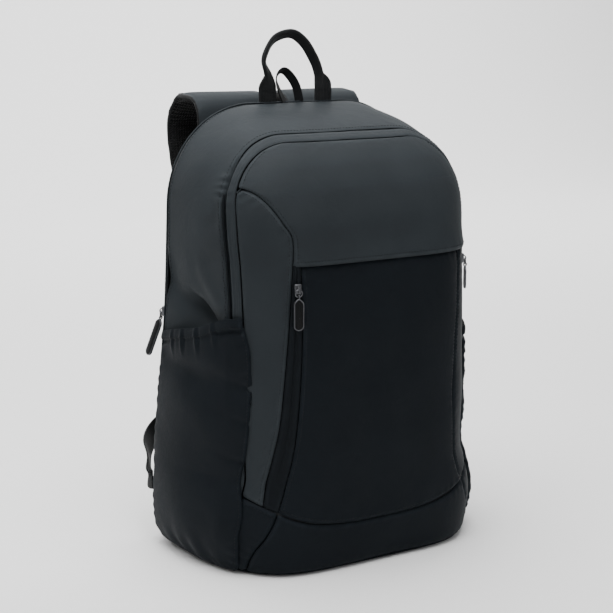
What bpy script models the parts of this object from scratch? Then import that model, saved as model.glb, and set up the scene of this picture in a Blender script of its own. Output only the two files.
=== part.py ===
"""Laptop backpack: a hollow body of sewn cloth panels, padded back and straps, webbing handle, zips.

The body is measured from its back seam. X runs across with +X to the viewer's right, Y runs from
the front (negative) to the wearer's back (positive) with 0 at the back seam, and Z is up from the
floor. At the end everything is moved together so that the origin lies under the middle of the
whole backpack, on the floor.
"""

import math
from collections import namedtuple

import bmesh
import bpy
import numpy as np
from mathutils import Euler, Matrix, Vector

# Body sizes, in metres
HEIGHT = 0.450  # floor to the top of the back seam
BACK_HALF = 0.149  # half the width inside the back seam's arch
BACK_CORNER = 0.095  # radius of that arch's shoulders
DEPTH = 0.160  # back seam to the front of the base
ZIP_DROP = 0.024  # how far the main zip's arch stays below the back seam
ZIP_NARROW = 0.008  # how much narrower it is on each side
ZIP_CORNER = 0.074  # radius of its shoulders
ZIP_BAND = 0.0075  # width of the zip strip, seen from the front
ZIP_BAND_DRAW = 0.010  # how much tighter the shoulders of its inner edge are
FRONT_SQUARE = 5.5  # how square the front is in plan: 2 would be a parabola
GUSSET_CROWN = 0.003  # how far the sides and roof bow outwards
LAPTOP_BAND = 0.010  # depth of the laptop zip's band behind the back seam
LAPTOP_NARROW = 0.007  # how far that band draws in
WALL = 0.0016  # coated cloth with its lining
BOTTOM_WALL = 0.002
SEAM = 0.0006  # gap between sewn pieces
EDGE_GAP = 0.0014  # the same where two pieces meet at an angle

# Back panel and straps
PAD_EDGE = 0.006
PAD_CROWN = 0.006
STRAP_WIDTH = 0.076
STRAP_THICK = 0.008
STRAP_CENTRE = 0.062  # middle of the body to the middle of a strap, at its top
STRAP_REACH = 0.094  # back seam to the furthest point of the straps
SEAT_GAP = 0.0004  # between a strap, tab or slider and what it is sewn to

# Webbing, handle and loop
WEB_WIDTH = 0.020
WEB_THICK = 0.0018
HANDLE_HALF = 0.0335  # middle of the body to the middle of a handle tab
HANDLE_RISE = 0.070
HANDLE_GRIP = 0.011  # the webbing is folded to this width in the hand
LOOP_RISE = 0.032
LOOP_WIDTH = 0.009
LOOP_THICK = 0.0014
BUCKLE_WIDTH = 0.030
BUCKLE_HEIGHT = 0.026
BUCKLE_THICK = 0.003
BUCKLE_BAR = 0.004

# Side pockets
POCKET_FILL = 0.0085  # how far a pocket stands off the side of the body
POCKET_CLEAR = 0.0013  # at its sewn edges
TUCK_DEPTH = 0.0012
TUCKS = 5
MOUTH_DENT = 0.0085  # how far the body gives way behind a pocket's mouth

# Zip fittings
SLIDER = Vector((0.0075, 0.0032, 0.0100))
LUG = Vector((0.0020, 0.0034, 0.0046))
LUG_HOLE = 0.00120
RING_RADIUS = 0.0034
RING_WIRE = 0.0007
PULL_WIDTH = 0.010
PULL_THICK = 0.0018
PULL_EYE = Vector((0.0030, 0.0036, 0.0040))
FITTING_LAP = 0.0005  # how far a lug or eye reaches into what it grows from

FOOT = BOTTOM_WALL + SEAM
ZIP_TOP = HEIGHT - ZIP_DROP
ZIP_HALF = BACK_HALF - ZIP_NARROW
PAD_THICK = PAD_EDGE + PAD_CROWN
BODY_MIDDLE = Vector((0.0, -0.45 * DEPTH, 0.45 * HEIGHT))

# Shares of half an arch, from its crown, taken by its flat top and by its shoulder
FLAT = 0.12
TURN = 0.34

SEAM_ROWS = 14  # rows of the panels that meet along the front pocket's sides
FOOT_ROWS = 1.45  # more than 1 crowds rows of cloth towards the floor
POCKET_COLUMNS = 1.5  # more than 1 crowds a side pocket's columns round the front's corner
POCKET_REACH = 0.985  # a side pocket is sewn down in front of the zip line, which is 1
POCKET_ROUND = 0.7  # less than 1 fills a side pocket out towards its sewn edges
TUCK_BAND = 0.10  # share of a side pocket's height taken by the tucks under its hem
LOOK = 0.002  # step used to find the slope of a surface

# Half width and depth of the back seam. Heights are shares of HEIGHT, sides of BACK_HALF, and
# behind is a share of DEPTH.
BackSection = namedtuple("BackSection", "height side behind")
BACK_SECTIONS = [
    BackSection(height=0.000, side=0.965, behind=0.020),
    BackSection(height=0.027, side=1.050, behind=0.085),
    BackSection(height=0.060, side=1.078, behind=0.105),
    BackSection(height=0.133, side=1.085, behind=0.110),
    BackSection(height=0.222, side=1.075, behind=0.100),
    BackSection(height=0.400, side=1.048, behind=0.065),
    BackSection(height=0.567, side=1.020, behind=0.030),
    BackSection(height=0.733, side=1.007, behind=0.012),
    BackSection(height=0.889, side=1.000, behind=0.000),
    BackSection(height=1.000, side=1.000, behind=0.000),
]

# Plan of the front. Heights are shares of ZIP_TOP, sides of ZIP_HALF, and the depths of the zip
# line and of the middle of the front are shares of DEPTH.
FrontSection = namedtuple("FrontSection", "height side zip_line front")
FRONT_SECTIONS = [
    FrontSection(height=0.000, side=1.014, zip_line=0.594, front=0.956),
    FrontSection(height=0.028, side=1.045, zip_line=0.606, front=0.988),
    FrontSection(height=0.103, side=1.070, zip_line=0.635, front=1.000),
    FrontSection(height=0.141, side=1.052, zip_line=0.644, front=0.998),
    FrontSection(height=0.188, side=1.012, zip_line=0.643, front=0.994),
    FrontSection(height=0.230, side=0.980, zip_line=0.640, front=0.991),
    FrontSection(height=0.352, side=0.990, zip_line=0.637, front=0.981),
    FrontSection(height=0.469, side=0.990, zip_line=0.634, front=0.975),
    FrontSection(height=0.587, side=0.980, zip_line=0.631, front=0.969),
    FrontSection(height=0.721, side=0.990, zip_line=0.617, front=0.950),
    FrontSection(height=0.798, side=1.000, zip_line=0.600, front=0.925),
    FrontSection(height=0.869, side=1.000, zip_line=0.581, front=0.869),
    FrontSection(height=0.927, side=1.000, zip_line=0.563, front=0.781),
    FrontSection(height=0.967, side=1.000, zip_line=0.540, front=0.681),
    FrontSection(height=0.988, side=1.000, zip_line=0.526, front=0.600),
    FrontSection(height=1.000, side=1.000, zip_line=0.519, front=0.519),
]

# Seams of the front, seen from the front. Heights are shares of ZIP_TOP and across of ZIP_HALF.
SeamPoint = namedtuple("SeamPoint", "height across")
FLAP_HEIGHT = 0.721
SHOULDER_SEAM = [  # from the main zip's left side down to the flap's lower left corner
    SeamPoint(height=0.889, across=-0.910),
    SeamPoint(height=0.886, across=-0.882),
    SeamPoint(height=0.879, across=-0.846),
    SeamPoint(height=0.866, across=-0.808),
    SeamPoint(height=0.842, across=-0.757),
    SeamPoint(height=0.809, across=-0.701),
    SeamPoint(height=0.785, across=-0.660),
    SeamPoint(height=0.755, across=-0.655),
    SeamPoint(height=0.721, across=-0.665),
]
PLACKET_LEFT = [
    SeamPoint(height=0.721, across=-0.665),
    SeamPoint(height=0.613, across=-0.690),
    SeamPoint(height=0.486, across=-0.724),
    SeamPoint(height=0.361, across=-0.762),
    SeamPoint(height=0.286, across=-0.802),
    SeamPoint(height=0.169, across=-0.873),
]
PLACKET_RIGHT = [
    SeamPoint(height=0.721, across=-0.608),
    SeamPoint(height=0.563, across=-0.611),
    SeamPoint(height=0.439, across=-0.629),
    SeamPoint(height=0.317, across=-0.667),
    SeamPoint(height=0.219, across=-0.732),
    SeamPoint(height=0.156, across=-0.792),
]
POCKET_RIGHT = [
    SeamPoint(height=0.721, across=0.766),
    SeamPoint(height=0.587, across=0.738),
    SeamPoint(height=0.446, across=0.695),
    SeamPoint(height=0.376, across=0.681),
    SeamPoint(height=0.237, across=0.692),
    SeamPoint(height=0.172, across=0.745),
    SeamPoint(height=0.156, across=0.792),
]
CORNER_SEAM = [  # the base's left end, from the floor up; the right end mirrors it
    SeamPoint(height=0.000, across=-0.935),
    SeamPoint(height=0.027, across=-0.940),
    SeamPoint(height=0.061, across=-0.921),
    SeamPoint(height=0.093, across=-0.875),
    SeamPoint(height=0.136, across=-0.816),
    SeamPoint(height=0.156, across=-0.792),
]
SIDE_POCKET_SEAM = [  # where the left pocket is sewn to the front, from the floor up
    SeamPoint(height=0.000, across=-0.965),
    SeamPoint(height=0.059, across=-0.985),
    SeamPoint(height=0.099, across=-0.992),
    SeamPoint(height=0.146, across=-0.968),
    SeamPoint(height=0.202, across=-0.948),
    SeamPoint(height=0.303, across=-0.915),
    SeamPoint(height=0.415, across=-0.900),
    SeamPoint(height=0.511, across=-0.897),
    SeamPoint(height=0.592, across=-0.926),
]
BASE_MIDDLE = 0.111  # height of the base seam in the middle
BASE_RISE = 0.045  # and how much higher its ends are
CORNER_TOP = 0.187  # height of a corner panel at the body's side

# Top edge of a side pocket, from its back edge to its front one, as shares of HEIGHT
HemPoint = namedtuple("HemPoint", "along left right")
POCKET_HEM = [
    HemPoint(along=0.00, left=0.500, right=0.500),
    HemPoint(along=0.30, left=0.517, right=0.512),
    HemPoint(along=0.60, left=0.533, right=0.515),
    HemPoint(along=0.85, left=0.556, right=0.502),
    HemPoint(along=1.00, left=0.568, right=0.490),
]
# How full a side pocket is from its foot to its hem
FillPoint = namedtuple("FillPoint", "up fill")
POCKET_FULLNESS = [
    FillPoint(up=0.00, fill=0.00),
    FillPoint(up=0.15, fill=0.80),
    FillPoint(up=0.45, fill=1.00),
    FillPoint(up=0.85, fill=0.62),
    FillPoint(up=1.00, fill=0.36),
]

# Soft dents of the sides: side is -1 on the left and 1 on the right, height and tall are shares
# of HEIGHT, back and long run from the back seam (0) to the zip (1)
Dent = namedtuple("Dent", "side height back deep tall long")
DENTS = [
    Dent(side=-1, height=0.535, back=0.55, deep=1.0, tall=0.070, long=0.28),
    Dent(side=1, height=0.520, back=0.58, deep=1.0, tall=0.070, long=0.30),
    Dent(side=-1, height=0.640, back=0.12, deep=0.35, tall=0.040, long=0.16),
]

# Route of the left strap's middle. Across is a share of BACK_HALF added to STRAP_CENTRE, behind
# of STRAP_REACH, height of HEIGHT and width of STRAP_WIDTH.
StrapPoint = namedtuple("StrapPoint", "across behind height width")
STRAP_ROUTE = [
    StrapPoint(across=0.00, behind=0.245, height=0.905, width=1.00),
    StrapPoint(across=0.00, behind=0.250, height=0.955, width=1.00),
    StrapPoint(across=0.00, behind=0.370, height=0.995, width=1.00),
    StrapPoint(across=0.00, behind=0.600, height=1.004, width=1.00),
    StrapPoint(across=0.00, behind=0.830, height=0.985, width=1.00),
    StrapPoint(across=0.00, behind=0.960, height=0.935, width=1.00),
    StrapPoint(across=0.00, behind=0.935, height=0.870, width=1.00),
    StrapPoint(across=0.01, behind=0.840, height=0.780, width=0.96),
    StrapPoint(across=0.04, behind=0.740, height=0.680, width=0.90),
    StrapPoint(across=0.09, behind=0.660, height=0.580, width=0.80),
    StrapPoint(across=0.13, behind=0.610, height=0.490, width=0.62),
    StrapPoint(across=0.15, behind=0.590, height=0.440, width=0.46),
]
# Route of the left webbing below the buckle, as far as the bottom corner. Across is a share of
# BACK_HALF, behind of STRAP_REACH and height of HEIGHT. Roll turns it edge up, in degrees.
WebPoint = namedtuple("WebPoint", "across behind height roll")
WEB_ROUTE = [
    WebPoint(across=0.670, behind=0.680, height=0.297, roll=12),
    WebPoint(across=0.765, behind=0.775, height=0.258, roll=25),
    WebPoint(across=0.893, behind=0.766, height=0.225, roll=45),
    WebPoint(across=1.007, behind=0.590, height=0.201, roll=65),
    WebPoint(across=1.072, behind=0.355, height=0.176, roll=82),
]
WEB_LEAVE = 0.020  # how far it runs straight on from the buckle
WEB_SEAT = 0.147  # height of its end, at the back seam, as a share of HEIGHT
WEB_SEAT_RUN = 0.007  # how far it runs straight back from there

# Route of the grab handle. Across is a share of HANDLE_HALF and up of HANDLE_RISE. Flat is 1
# where the webbing lies open and 0 where it is folded.
HandlePoint = namedtuple("HandlePoint", "across up flat")
HANDLE_ROUTE = [
    HandlePoint(across=-1.00, up=0.00, flat=1.0),
    HandlePoint(across=-1.01, up=0.20, flat=1.0),
    HandlePoint(across=-1.04, up=0.40, flat=0.8),
    HandlePoint(across=-1.13, up=0.60, flat=0.0),
    HandlePoint(across=-1.00, up=0.79, flat=0.0),
    HandlePoint(across=-0.66, up=0.95, flat=0.0),
    HandlePoint(across=-0.15, up=1.00, flat=0.0),
    HandlePoint(across=0.32, up=0.87, flat=0.0),
    HandlePoint(across=0.66, up=0.64, flat=0.0),
    HandlePoint(across=0.93, up=0.40, flat=0.3),
    HandlePoint(across=1.00, up=0.24, flat=0.9),
    HandlePoint(across=1.00, up=0.00, flat=1.0),
]
# Route of the hang loop, in shares of HANDLE_HALF and LOOP_RISE
LoopPoint = namedtuple("LoopPoint", "across up")
LOOP_ROUTE = [
    LoopPoint(across=-0.40, up=0.00),
    LoopPoint(across=-0.62, up=0.45),
    LoopPoint(across=-0.68, up=0.80),
    LoopPoint(across=-0.48, up=1.00),
    LoopPoint(across=-0.22, up=0.84),
    LoopPoint(across=0.02, up=0.48),
    LoopPoint(across=0.14, up=0.00),
]

# Zip fittings: height as a share of ZIP_TOP, turn about Z and lean of the pull in degrees
Fitting = namedtuple("Fitting", "name height turn lean pull_length")
FRONT_FITTING = Fitting("front_zip", height=0.669, turn=-14, lean=0, pull_length=0.031)
LAPTOP_FITTING = Fitting("laptop_zip", height=0.572, turn=-125, lean=20, pull_length=0.040)
MAIN_FITTING = Fitting("main_zip", height=0.680, turn=60, lean=0, pull_length=0.024)


def smooth_at(rows, key, value, place):
    """Reads column value of a table where column key is place, on a curve that never overshoots."""
    keys = [getattr(row, key) for row in rows]
    values = [getattr(row, value) for row in rows]
    if keys[0] > keys[-1]:
        keys.reverse()
        values.reverse()
    place = min(max(place, keys[0]), keys[-1])
    steps = np.diff(keys)
    rises = np.diff(values) / steps
    slopes = [rises[0]]
    for before, after in zip(rises[:-1], rises[1:]):
        slopes.append(0.0 if before * after <= 0 else 2 * before * after / (before + after))
    slopes.append(rises[-1])
    i = min(int(np.searchsorted(keys, place, side="right")) - 1, len(steps) - 1)
    t = (place - keys[i]) / steps[i]
    start = values[i] * (1 + 2 * t) * (1 - t) ** 2 + slopes[i] * steps[i] * t * (1 - t) ** 2
    end = values[i + 1] * t * t * (3 - 2 * t) + slopes[i + 1] * steps[i] * t * t * (t - 1)
    return start + end


def back_half(z):
    return BACK_HALF * smooth_at(BACK_SECTIONS, "height", "side", z / HEIGHT)


def back_y(z):
    return DEPTH * smooth_at(BACK_SECTIONS, "height", "behind", z / HEIGHT)


def zip_half(z):
    return ZIP_HALF * smooth_at(FRONT_SECTIONS, "height", "side", z / ZIP_TOP)


def zip_y(z):
    return -DEPTH * smooth_at(FRONT_SECTIONS, "height", "zip_line", z / ZIP_TOP)


def arch_half(z, half, top, corner):
    """Half width of an arch with round shoulders at height z."""
    rise = min(max((z - top + corner) / corner, 0.0), 1.0)
    return half - corner + corner * math.sqrt(1.0 - rise * rise)


def front_half(z):
    return arch_half(z, zip_half(z), ZIP_TOP, ZIP_CORNER)


def front_y(x, z):
    """Depth of the front at a place seen from the front."""
    share = min(abs(x) / max(front_half(z), WALL), 1.0)
    deepest = -DEPTH * smooth_at(FRONT_SECTIONS, "height", "front", z / ZIP_TOP)
    edge = zip_y(z)
    return edge - (edge - deepest) * (1.0 - share**FRONT_SQUARE)


def front_point(x, z):
    return Vector((x, front_y(x, z), z))


def arch_point(u, half_at, top, corner):
    """Place, seen from the front, at share u of an arch: -1 and 1 at its feet, 0 at its crown.

    Also returns how far the arch has turned from its flat top, 0 to a right angle.
    """
    side = math.copysign(1.0, u)
    share = abs(u)
    if share < FLAT:
        turned = 0.0
        z = top
        x = (half_at(z) - corner) * share / FLAT
    elif share < FLAT + TURN:
        turned = 0.5 * math.pi * (share - FLAT) / TURN
        z = top - corner + corner * math.cos(turned)
        x = half_at(z) - corner + corner * math.sin(turned)
    else:
        turned = 0.5 * math.pi
        above = (1.0 - (share - FLAT - TURN) / (1.0 - FLAT - TURN)) ** FOOT_ROWS
        z = FOOT + (top - corner - FOOT) * above
        x = half_at(z)
    return side * x, z, turned


def dent_depth(side, height, back):
    depth = 0.0
    for dent in DENTS:
        if dent.side * side > 0:
            away = ((height - dent.height) / dent.tall) ** 2 + ((back - dent.back) / dent.long) ** 2
            depth += MOUTH_DENT * dent.deep * math.exp(-away)
    return depth


def gusset_point(u, v):
    """Surface of the sides and roof: u along the arch, v from the back seam to the zip line."""
    x_back, z_back, turned = arch_point(u, back_half, HEIGHT, BACK_CORNER)
    x_zip, z_zip, _ = arch_point(u, zip_half, ZIP_TOP, ZIP_CORNER)
    back = Vector((x_back, back_y(z_back), z_back))
    point = back.lerp(Vector((x_zip, zip_y(z_zip), z_zip)), v)
    side = math.copysign(1.0, u)
    out = Vector((side * math.sin(turned), 0.0, math.cos(turned)))
    bow = GUSSET_CROWN * math.sin(math.pi * v) - dent_depth(side, point.z / HEIGHT, v)
    return point + out * bow


def side_point(side, z, q):
    """The same surface without its dents: q is 0 at the back seam, 1 at the zip, 2 mid-front."""
    if q <= 1.0:
        x = back_half(z) + (zip_half(z) - back_half(z)) * q
        bow = GUSSET_CROWN * math.sin(math.pi * q)
        return Vector((side * (x + bow), back_y(z) + (zip_y(z) - back_y(z)) * q, z))
    return front_point(side * front_half(z) * (2.0 - q), z)


def seam_x(seam, z):
    return ZIP_HALF * smooth_at(seam, "height", "across", z / ZIP_TOP)


def base_seam_z(x):
    share = min(abs(x) / (ZIP_HALF * abs(CORNER_SEAM[-1].across)), 1.0)
    return ZIP_TOP * (BASE_MIDDLE + BASE_RISE * share**3)


def shoulder_seam_at(share):
    """Place of the shoulder seam, seen from the front: 0 at the zip, 1 at the flap's corner."""
    shares = np.linspace(0.0, 1.0, len(SHOULDER_SEAM))
    x = np.interp(share, shares, [ZIP_HALF * p.across for p in SHOULDER_SEAM])
    z = np.interp(share, shares, [ZIP_TOP * p.height for p in SHOULDER_SEAM])
    return float(x), float(z)


def inner_zip_x(z):
    """Front edge of the zip strip at height z, on the right-hand side."""
    return arch_half(z, zip_half(z) - ZIP_BAND, ZIP_TOP - ZIP_BAND, ZIP_CORNER - ZIP_BAND_DRAW)


# Scene and materials


def clear_scene():
    for obj in list(bpy.data.objects):
        bpy.data.objects.remove(obj)


def make_collection(name):
    collection = bpy.data.collections.new(name)
    bpy.context.scene.collection.children.link(collection)
    return collection


def make_material(name, colour, roughness, metallic=0.0):
    """A Principled material; colour is linear red, green and blue."""
    material = bpy.data.materials.new(name)
    material.use_nodes = True
    shader = material.node_tree.nodes["Principled BSDF"]
    shader.inputs["Base Color"].default_value = (*colour, 1.0)
    shader.inputs["Roughness"].default_value = roughness
    shader.inputs["Metallic"].default_value = metallic
    material.diffuse_color = (*colour, 1.0)
    return material


clear_scene()
PARTS = make_collection("laptop_backpack")
CUTTERS = make_collection("cutters")
COATED_CLOTH = make_material("coated_cloth", (0.030, 0.033, 0.033), 0.62)
SPACER_MESH = make_material("spacer_mesh", (0.018, 0.018, 0.019), 0.90)
WEBBING = make_material("webbing", (0.028, 0.030, 0.031), 0.75)
MOULDED_BLACK = make_material("moulded_black", (0.015, 0.015, 0.016), 0.45)
GUNMETAL = make_material("gunmetal", (0.20, 0.20, 0.21), 0.30, 1.0)


def add_object(name, data, material, collection=PARTS):
    obj = bpy.data.objects.new(name, data)
    data.materials.append(material)
    collection.objects.link(obj)
    return obj


def mesh_object(name, mesh_data, material, collection=PARTS):
    mesh = bpy.data.meshes.new(name)
    mesh_data.to_mesh(mesh)
    mesh_data.free()
    return add_object(name, mesh, material, collection)


# Ways of making a piece


def placed_grid(columns, rows, place):
    """A grid whose two shares, each 0 to 1, are carried to a surface by place."""
    grid = bmesh.new()
    bmesh.ops.create_grid(grid, x_segments=columns, y_segments=rows, size=0.5)
    for vertex in grid.verts:
        vertex.co = place(vertex.co.x + 0.5, vertex.co.y + 0.5)
    grid.normal_update()
    return grid


def turn_outwards(grid, middle):
    facing = sum(face.normal.dot(face.calc_center_median() - middle) for face in grid.faces)
    if facing < 0:
        bmesh.ops.reverse_faces(grid, faces=grid.faces[:])
        grid.normal_update()


def cloth_panel(name, columns, rows, place, material=COATED_CLOTH):
    """A cloth wall whose outer face is the placed surface."""
    grid = placed_grid(columns, rows, place)
    turn_outwards(grid, BODY_MIDDLE)
    panel = mesh_object(name, grid, material)
    solidify = panel.modifiers.new("wall", "SOLIDIFY")
    solidify.thickness = WALL
    solidify.offset = -1.0
    solidify.use_even_offset = True
    return panel


def ribbon(name, columns, rows, place, thick, material):
    """A strap or tape with its middle on the placed surface."""
    strip = mesh_object(name, placed_grid(columns, rows, place), material)
    solidify = strip.modifiers.new("thickness", "SOLIDIFY")
    solidify.thickness = thick
    solidify.offset = 0.0
    solidify.use_even_offset = True
    return strip


def inset(share, gap, length):
    """Moves a share of a length in from both ends by half a gap."""
    edge = min(0.5 * gap / max(length, gap), 0.45)
    return edge + share * (1.0 - 2.0 * edge)


def between(left, right, s):
    """Place on the front between two seen places, with a seam's gap at each."""
    s = inset(s, SEAM, (Vector(right) - Vector(left)).length)
    x = left[0] + (right[0] - left[0]) * s
    z = left[1] + (right[1] - left[1]) * s
    return front_point(x, z)


def smooth_route(points, share):
    """Place at a share of a smooth curve through all the points."""
    last = len(points) - 1
    place = min(max(share, 0.0), 1.0) * last
    i = min(int(place), last - 1)
    t = place - i
    before = points[max(i - 1, 0)]
    start = points[i]
    end = points[i + 1]
    after = points[min(i + 2, last)]
    span = (end - start).length
    leave = (end - before).normalized() * span
    arrive = (after - start).normalized() * span
    return (
        start * ((1 + 2 * t) * (1 - t) ** 2)
        + leave * (t * (1 - t) ** 2)
        + end * (t * t * (3 - 2 * t))
        + arrive * (t * t * (t - 1))
    )


def along_route(points, share, across, width, s):
    """Place at s, 0 to 1 across a ribbon that follows the route."""
    ahead = smooth_route(points, share + LOOK) - smooth_route(points, share - LOOK)
    ahead.normalize()
    across = (across - ahead * across.dot(ahead)).normalized()
    return smooth_route(points, share) + across * width * (s - 0.5)


# Body


def gusset():
    def place(s, t):
        v = inset(t, EDGE_GAP, DEPTH * FRONT_SECTIONS[-1].zip_line)
        return gusset_point(2.0 * s - 1.0, v)

    return cloth_panel("gusset", 44, 6, place)


def laptop_band():
    """The narrow band with the laptop compartment's zip, behind the back seam."""

    def rear_half(z):
        return back_half(z) - LAPTOP_NARROW

    def place(s, t):
        u = 2.0 * s - 1.0
        x_seam, z_seam, _ = arch_point(u, back_half, HEIGHT, BACK_CORNER)
        x_rear, z_rear, _ = arch_point(
            u, rear_half, HEIGHT - LAPTOP_NARROW, BACK_CORNER - LAPTOP_NARROW
        )
        seam = Vector((x_seam, back_y(z_seam), z_seam))
        rear = Vector((x_rear, back_y(z_rear) + LAPTOP_BAND, z_rear))
        return seam.lerp(rear, inset(t, EDGE_GAP, (rear - seam).length))

    return cloth_panel("laptop_zip_band", 44, 2, place)


def main_zip_strip():
    def inner_half(z):
        return zip_half(z) - ZIP_BAND

    def place(s, t):
        u = 2.0 * s - 1.0
        x_out, z_out, _ = arch_point(u, zip_half, ZIP_TOP, ZIP_CORNER)
        x_in, z_in, _ = arch_point(
            u, inner_half, ZIP_TOP - ZIP_BAND, ZIP_CORNER - ZIP_BAND_DRAW
        )
        share = inset(t, EDGE_GAP, ZIP_BAND)
        return front_point(x_out + (x_in - x_out) * share, z_out + (z_in - z_out) * share)

    return cloth_panel("main_zip_strip", 44, 1, place)


def back_panel():
    """Padded panel against the wearer's back, flat inside and crowned outside."""
    half_edge = LAPTOP_NARROW - SEAM
    top = HEIGHT - half_edge
    corner = BACK_CORNER - half_edge

    def outline(s, t):
        z = FOOT + (top - SEAM - FOOT) * math.sin(0.5 * math.pi * t ** 1.2)
        half = arch_half(z, back_half(z) - half_edge, top, corner)
        return half * (2.0 * s - 1.0), z

    def inside(s, t):
        x, z = outline(s, t)
        return Vector((x, back_y(z) + LAPTOP_BAND + SEAM, z))

    def crowned(s, t):
        point = inside(s, t)
        crown = (1.0 - (2.0 * s - 1.0) ** 6) * (1.0 - (2.0 * t - 1.0) ** 8)
        point.y += PAD_EDGE + PAD_CROWN * crown
        return point

    slab = placed_grid(10, 16, crowned)
    thick = bmesh.ops.extrude_face_region(slab, geom=slab.faces[:], use_keep_orig=True)
    for item in thick["geom"]:
        if isinstance(item, bmesh.types.BMVert):
            crown_y = item.co.y
            flat_y = back_y(item.co.z) + LAPTOP_BAND + SEAM
            item.co.y = min(flat_y, crown_y)
    bmesh.ops.recalc_face_normals(slab, faces=slab.faces[:])
    return mesh_object("back_panel", slab, SPACER_MESH)


def front_upper():
    """The upper front, whose lower edge is the flap over the front pocket."""
    seam_rows = len(SHOULDER_SEAM) - 1
    roof_rows = 8
    seam_top = ZIP_TOP * SHOULDER_SEAM[0].height
    high = ZIP_TOP - ZIP_BAND - 0.5 * SEAM

    def place(s, t):
        row = t * (seam_rows + roof_rows)
        if row <= seam_rows:
            x_left, z = shoulder_seam_at(1.0 - row / seam_rows)
        else:
            up = math.sin(0.5 * math.pi * (row - seam_rows) / roof_rows)
            z = seam_top + (high - seam_top) * up
            x_left = -inner_zip_x(z)
        z = max(z, ZIP_TOP * FLAP_HEIGHT + 0.5 * SEAM)
        return between((x_left, z), (inner_zip_x(z), z), s)

    return cloth_panel("front_upper", 14, seam_rows + roof_rows, place)


def front_side_left():
    """Left part of the front, from the point of the shoulder seam to the corner panel."""
    seam_rows = len(SHOULDER_SEAM) - 1
    rows = seam_rows + SEAM_ROWS
    top = ZIP_TOP * SHOULDER_SEAM[0].height
    flap = ZIP_TOP * FLAP_HEIGHT
    low_left = ZIP_TOP * CORNER_TOP + 0.5 * EDGE_GAP
    low_right = ZIP_TOP * PLACKET_LEFT[-1].height + 0.5 * EDGE_GAP

    def place(s, t):
        row = max(t * rows, 0.5)
        if row <= seam_rows:
            z_left = top + (flap - top) * row / seam_rows
            right = shoulder_seam_at(row / seam_rows)
        else:
            down = (row - seam_rows) / SEAM_ROWS
            z_left = flap + (low_left - flap) * down
            z_right = flap + (low_right - flap) * down
            right = (seam_x(PLACKET_LEFT, z_right), z_right)
        return between((-inner_zip_x(z_left), z_left), right, s)

    return cloth_panel("front_side_left", 5, rows, place)


def front_side_right():
    def place(s, t):
        t = inset(t, SEAM, ZIP_TOP * (FLAP_HEIGHT - CORNER_TOP))
        corner = POCKET_RIGHT[-1].height
        z_left = ZIP_TOP * (FLAP_HEIGHT + (corner - FLAP_HEIGHT) * t)
        z_right = ZIP_TOP * (FLAP_HEIGHT + (CORNER_TOP - FLAP_HEIGHT) * t)
        left = (seam_x(POCKET_RIGHT, z_left), z_left)
        return between(left, (inner_zip_x(z_right), z_right), s)

    return cloth_panel("front_side_right", 5, SEAM_ROWS, place)


def front_zip_placket():
    """Narrow band that carries the front pocket's upright zip."""

    def place(s, t):
        t = inset(t, SEAM, ZIP_TOP * (FLAP_HEIGHT - PLACKET_LEFT[-1].height))
        z_left = ZIP_TOP * (FLAP_HEIGHT + (PLACKET_LEFT[-1].height - FLAP_HEIGHT) * t)
        z_right = ZIP_TOP * (FLAP_HEIGHT + (PLACKET_RIGHT[-1].height - FLAP_HEIGHT) * t)
        left = (seam_x(PLACKET_LEFT, z_left), z_left)
        return between(left, (seam_x(PLACKET_RIGHT, z_right), z_right), s)

    return cloth_panel("front_zip_placket", 2, SEAM_ROWS, place)


def front_pocket():
    top = ZIP_TOP * FLAP_HEIGHT
    half = ZIP_HALF * POCKET_RIGHT[-1].across

    def place(s, t):
        t = inset(t, SEAM, top)
        z = top + (base_seam_z(half * (2.0 * s - 1.0)) - top) * t
        return between((seam_x(PLACKET_RIGHT, z), z), (seam_x(POCKET_RIGHT, z), z), s)

    return cloth_panel("front_pocket", 14, SEAM_ROWS, place)


def base_front():
    def place(s, t):
        across = 2.0 * s - 1.0
        end = ZIP_HALF * abs(CORNER_SEAM[-1].across)
        high = base_seam_z(end * across) - 0.5 * SEAM
        z = FOOT + (high - FOOT) * t**FOOT_ROWS
        edge = seam_x(CORNER_SEAM, z)
        return between((edge, z), (-edge, z), s)

    return cloth_panel("base_front", 18, 6, place)


def base_corner(side, name):
    def place(s, t):
        t = t**FOOT_ROWS
        inner_top = CORNER_SEAM[-1].height * ZIP_TOP - 0.5 * EDGE_GAP
        outer_top = CORNER_TOP * ZIP_TOP - 0.5 * EDGE_GAP
        z_outer = FOOT + (outer_top - FOOT) * t
        z_inner = FOOT + (inner_top - FOOT) * t
        outer = inner_zip_x(z_outer)
        point = between((-outer, z_outer), (seam_x(CORNER_SEAM, z_inner), z_inner), s)
        point.x *= -side
        return point

    return cloth_panel(name, 3, 6, place)


def side_pocket(side, word):
    def hem_z(along):
        return HEIGHT * smooth_at(POCKET_HEM, "along", word, along)

    def surface(along, z):
        sewn = abs(seam_x(SIDE_POCKET_SEAM, z))
        front_q = 2.0 - min(sewn / front_half(z), POCKET_REACH)
        return side_point(side, z, along * front_q)

    def place(s, t):
        s = 1.0 - (1.0 - s) ** POCKET_COLUMNS
        t = t**FOOT_ROWS
        z = FOOT + (hem_z(s) - FOOT) * t
        point = surface(s, z)
        up = surface(s, z + LOOK) - surface(s, z - LOOK)
        on = surface(min(s + LOOK, 1.0), z) - surface(max(s - LOOK, 0.0), z)
        out = up.cross(on).normalized()
        if out.x * side < 0:
            out = -out
        arch = max(math.sin(math.pi * s), 0.0)
        full = smooth_at(POCKET_FULLNESS, "up", "fill", t) * arch**POCKET_ROUND
        tuck = math.exp(-(((1.0 - t) / TUCK_BAND) ** 2)) * math.cos(2.0 * math.pi * TUCKS * s)
        stand = WALL + POCKET_CLEAR + POCKET_FILL * full + TUCK_DEPTH * tuck * arch
        return point + out * stand

    return cloth_panel(f"side_pocket_{word}", 17, 12, place)


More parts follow.
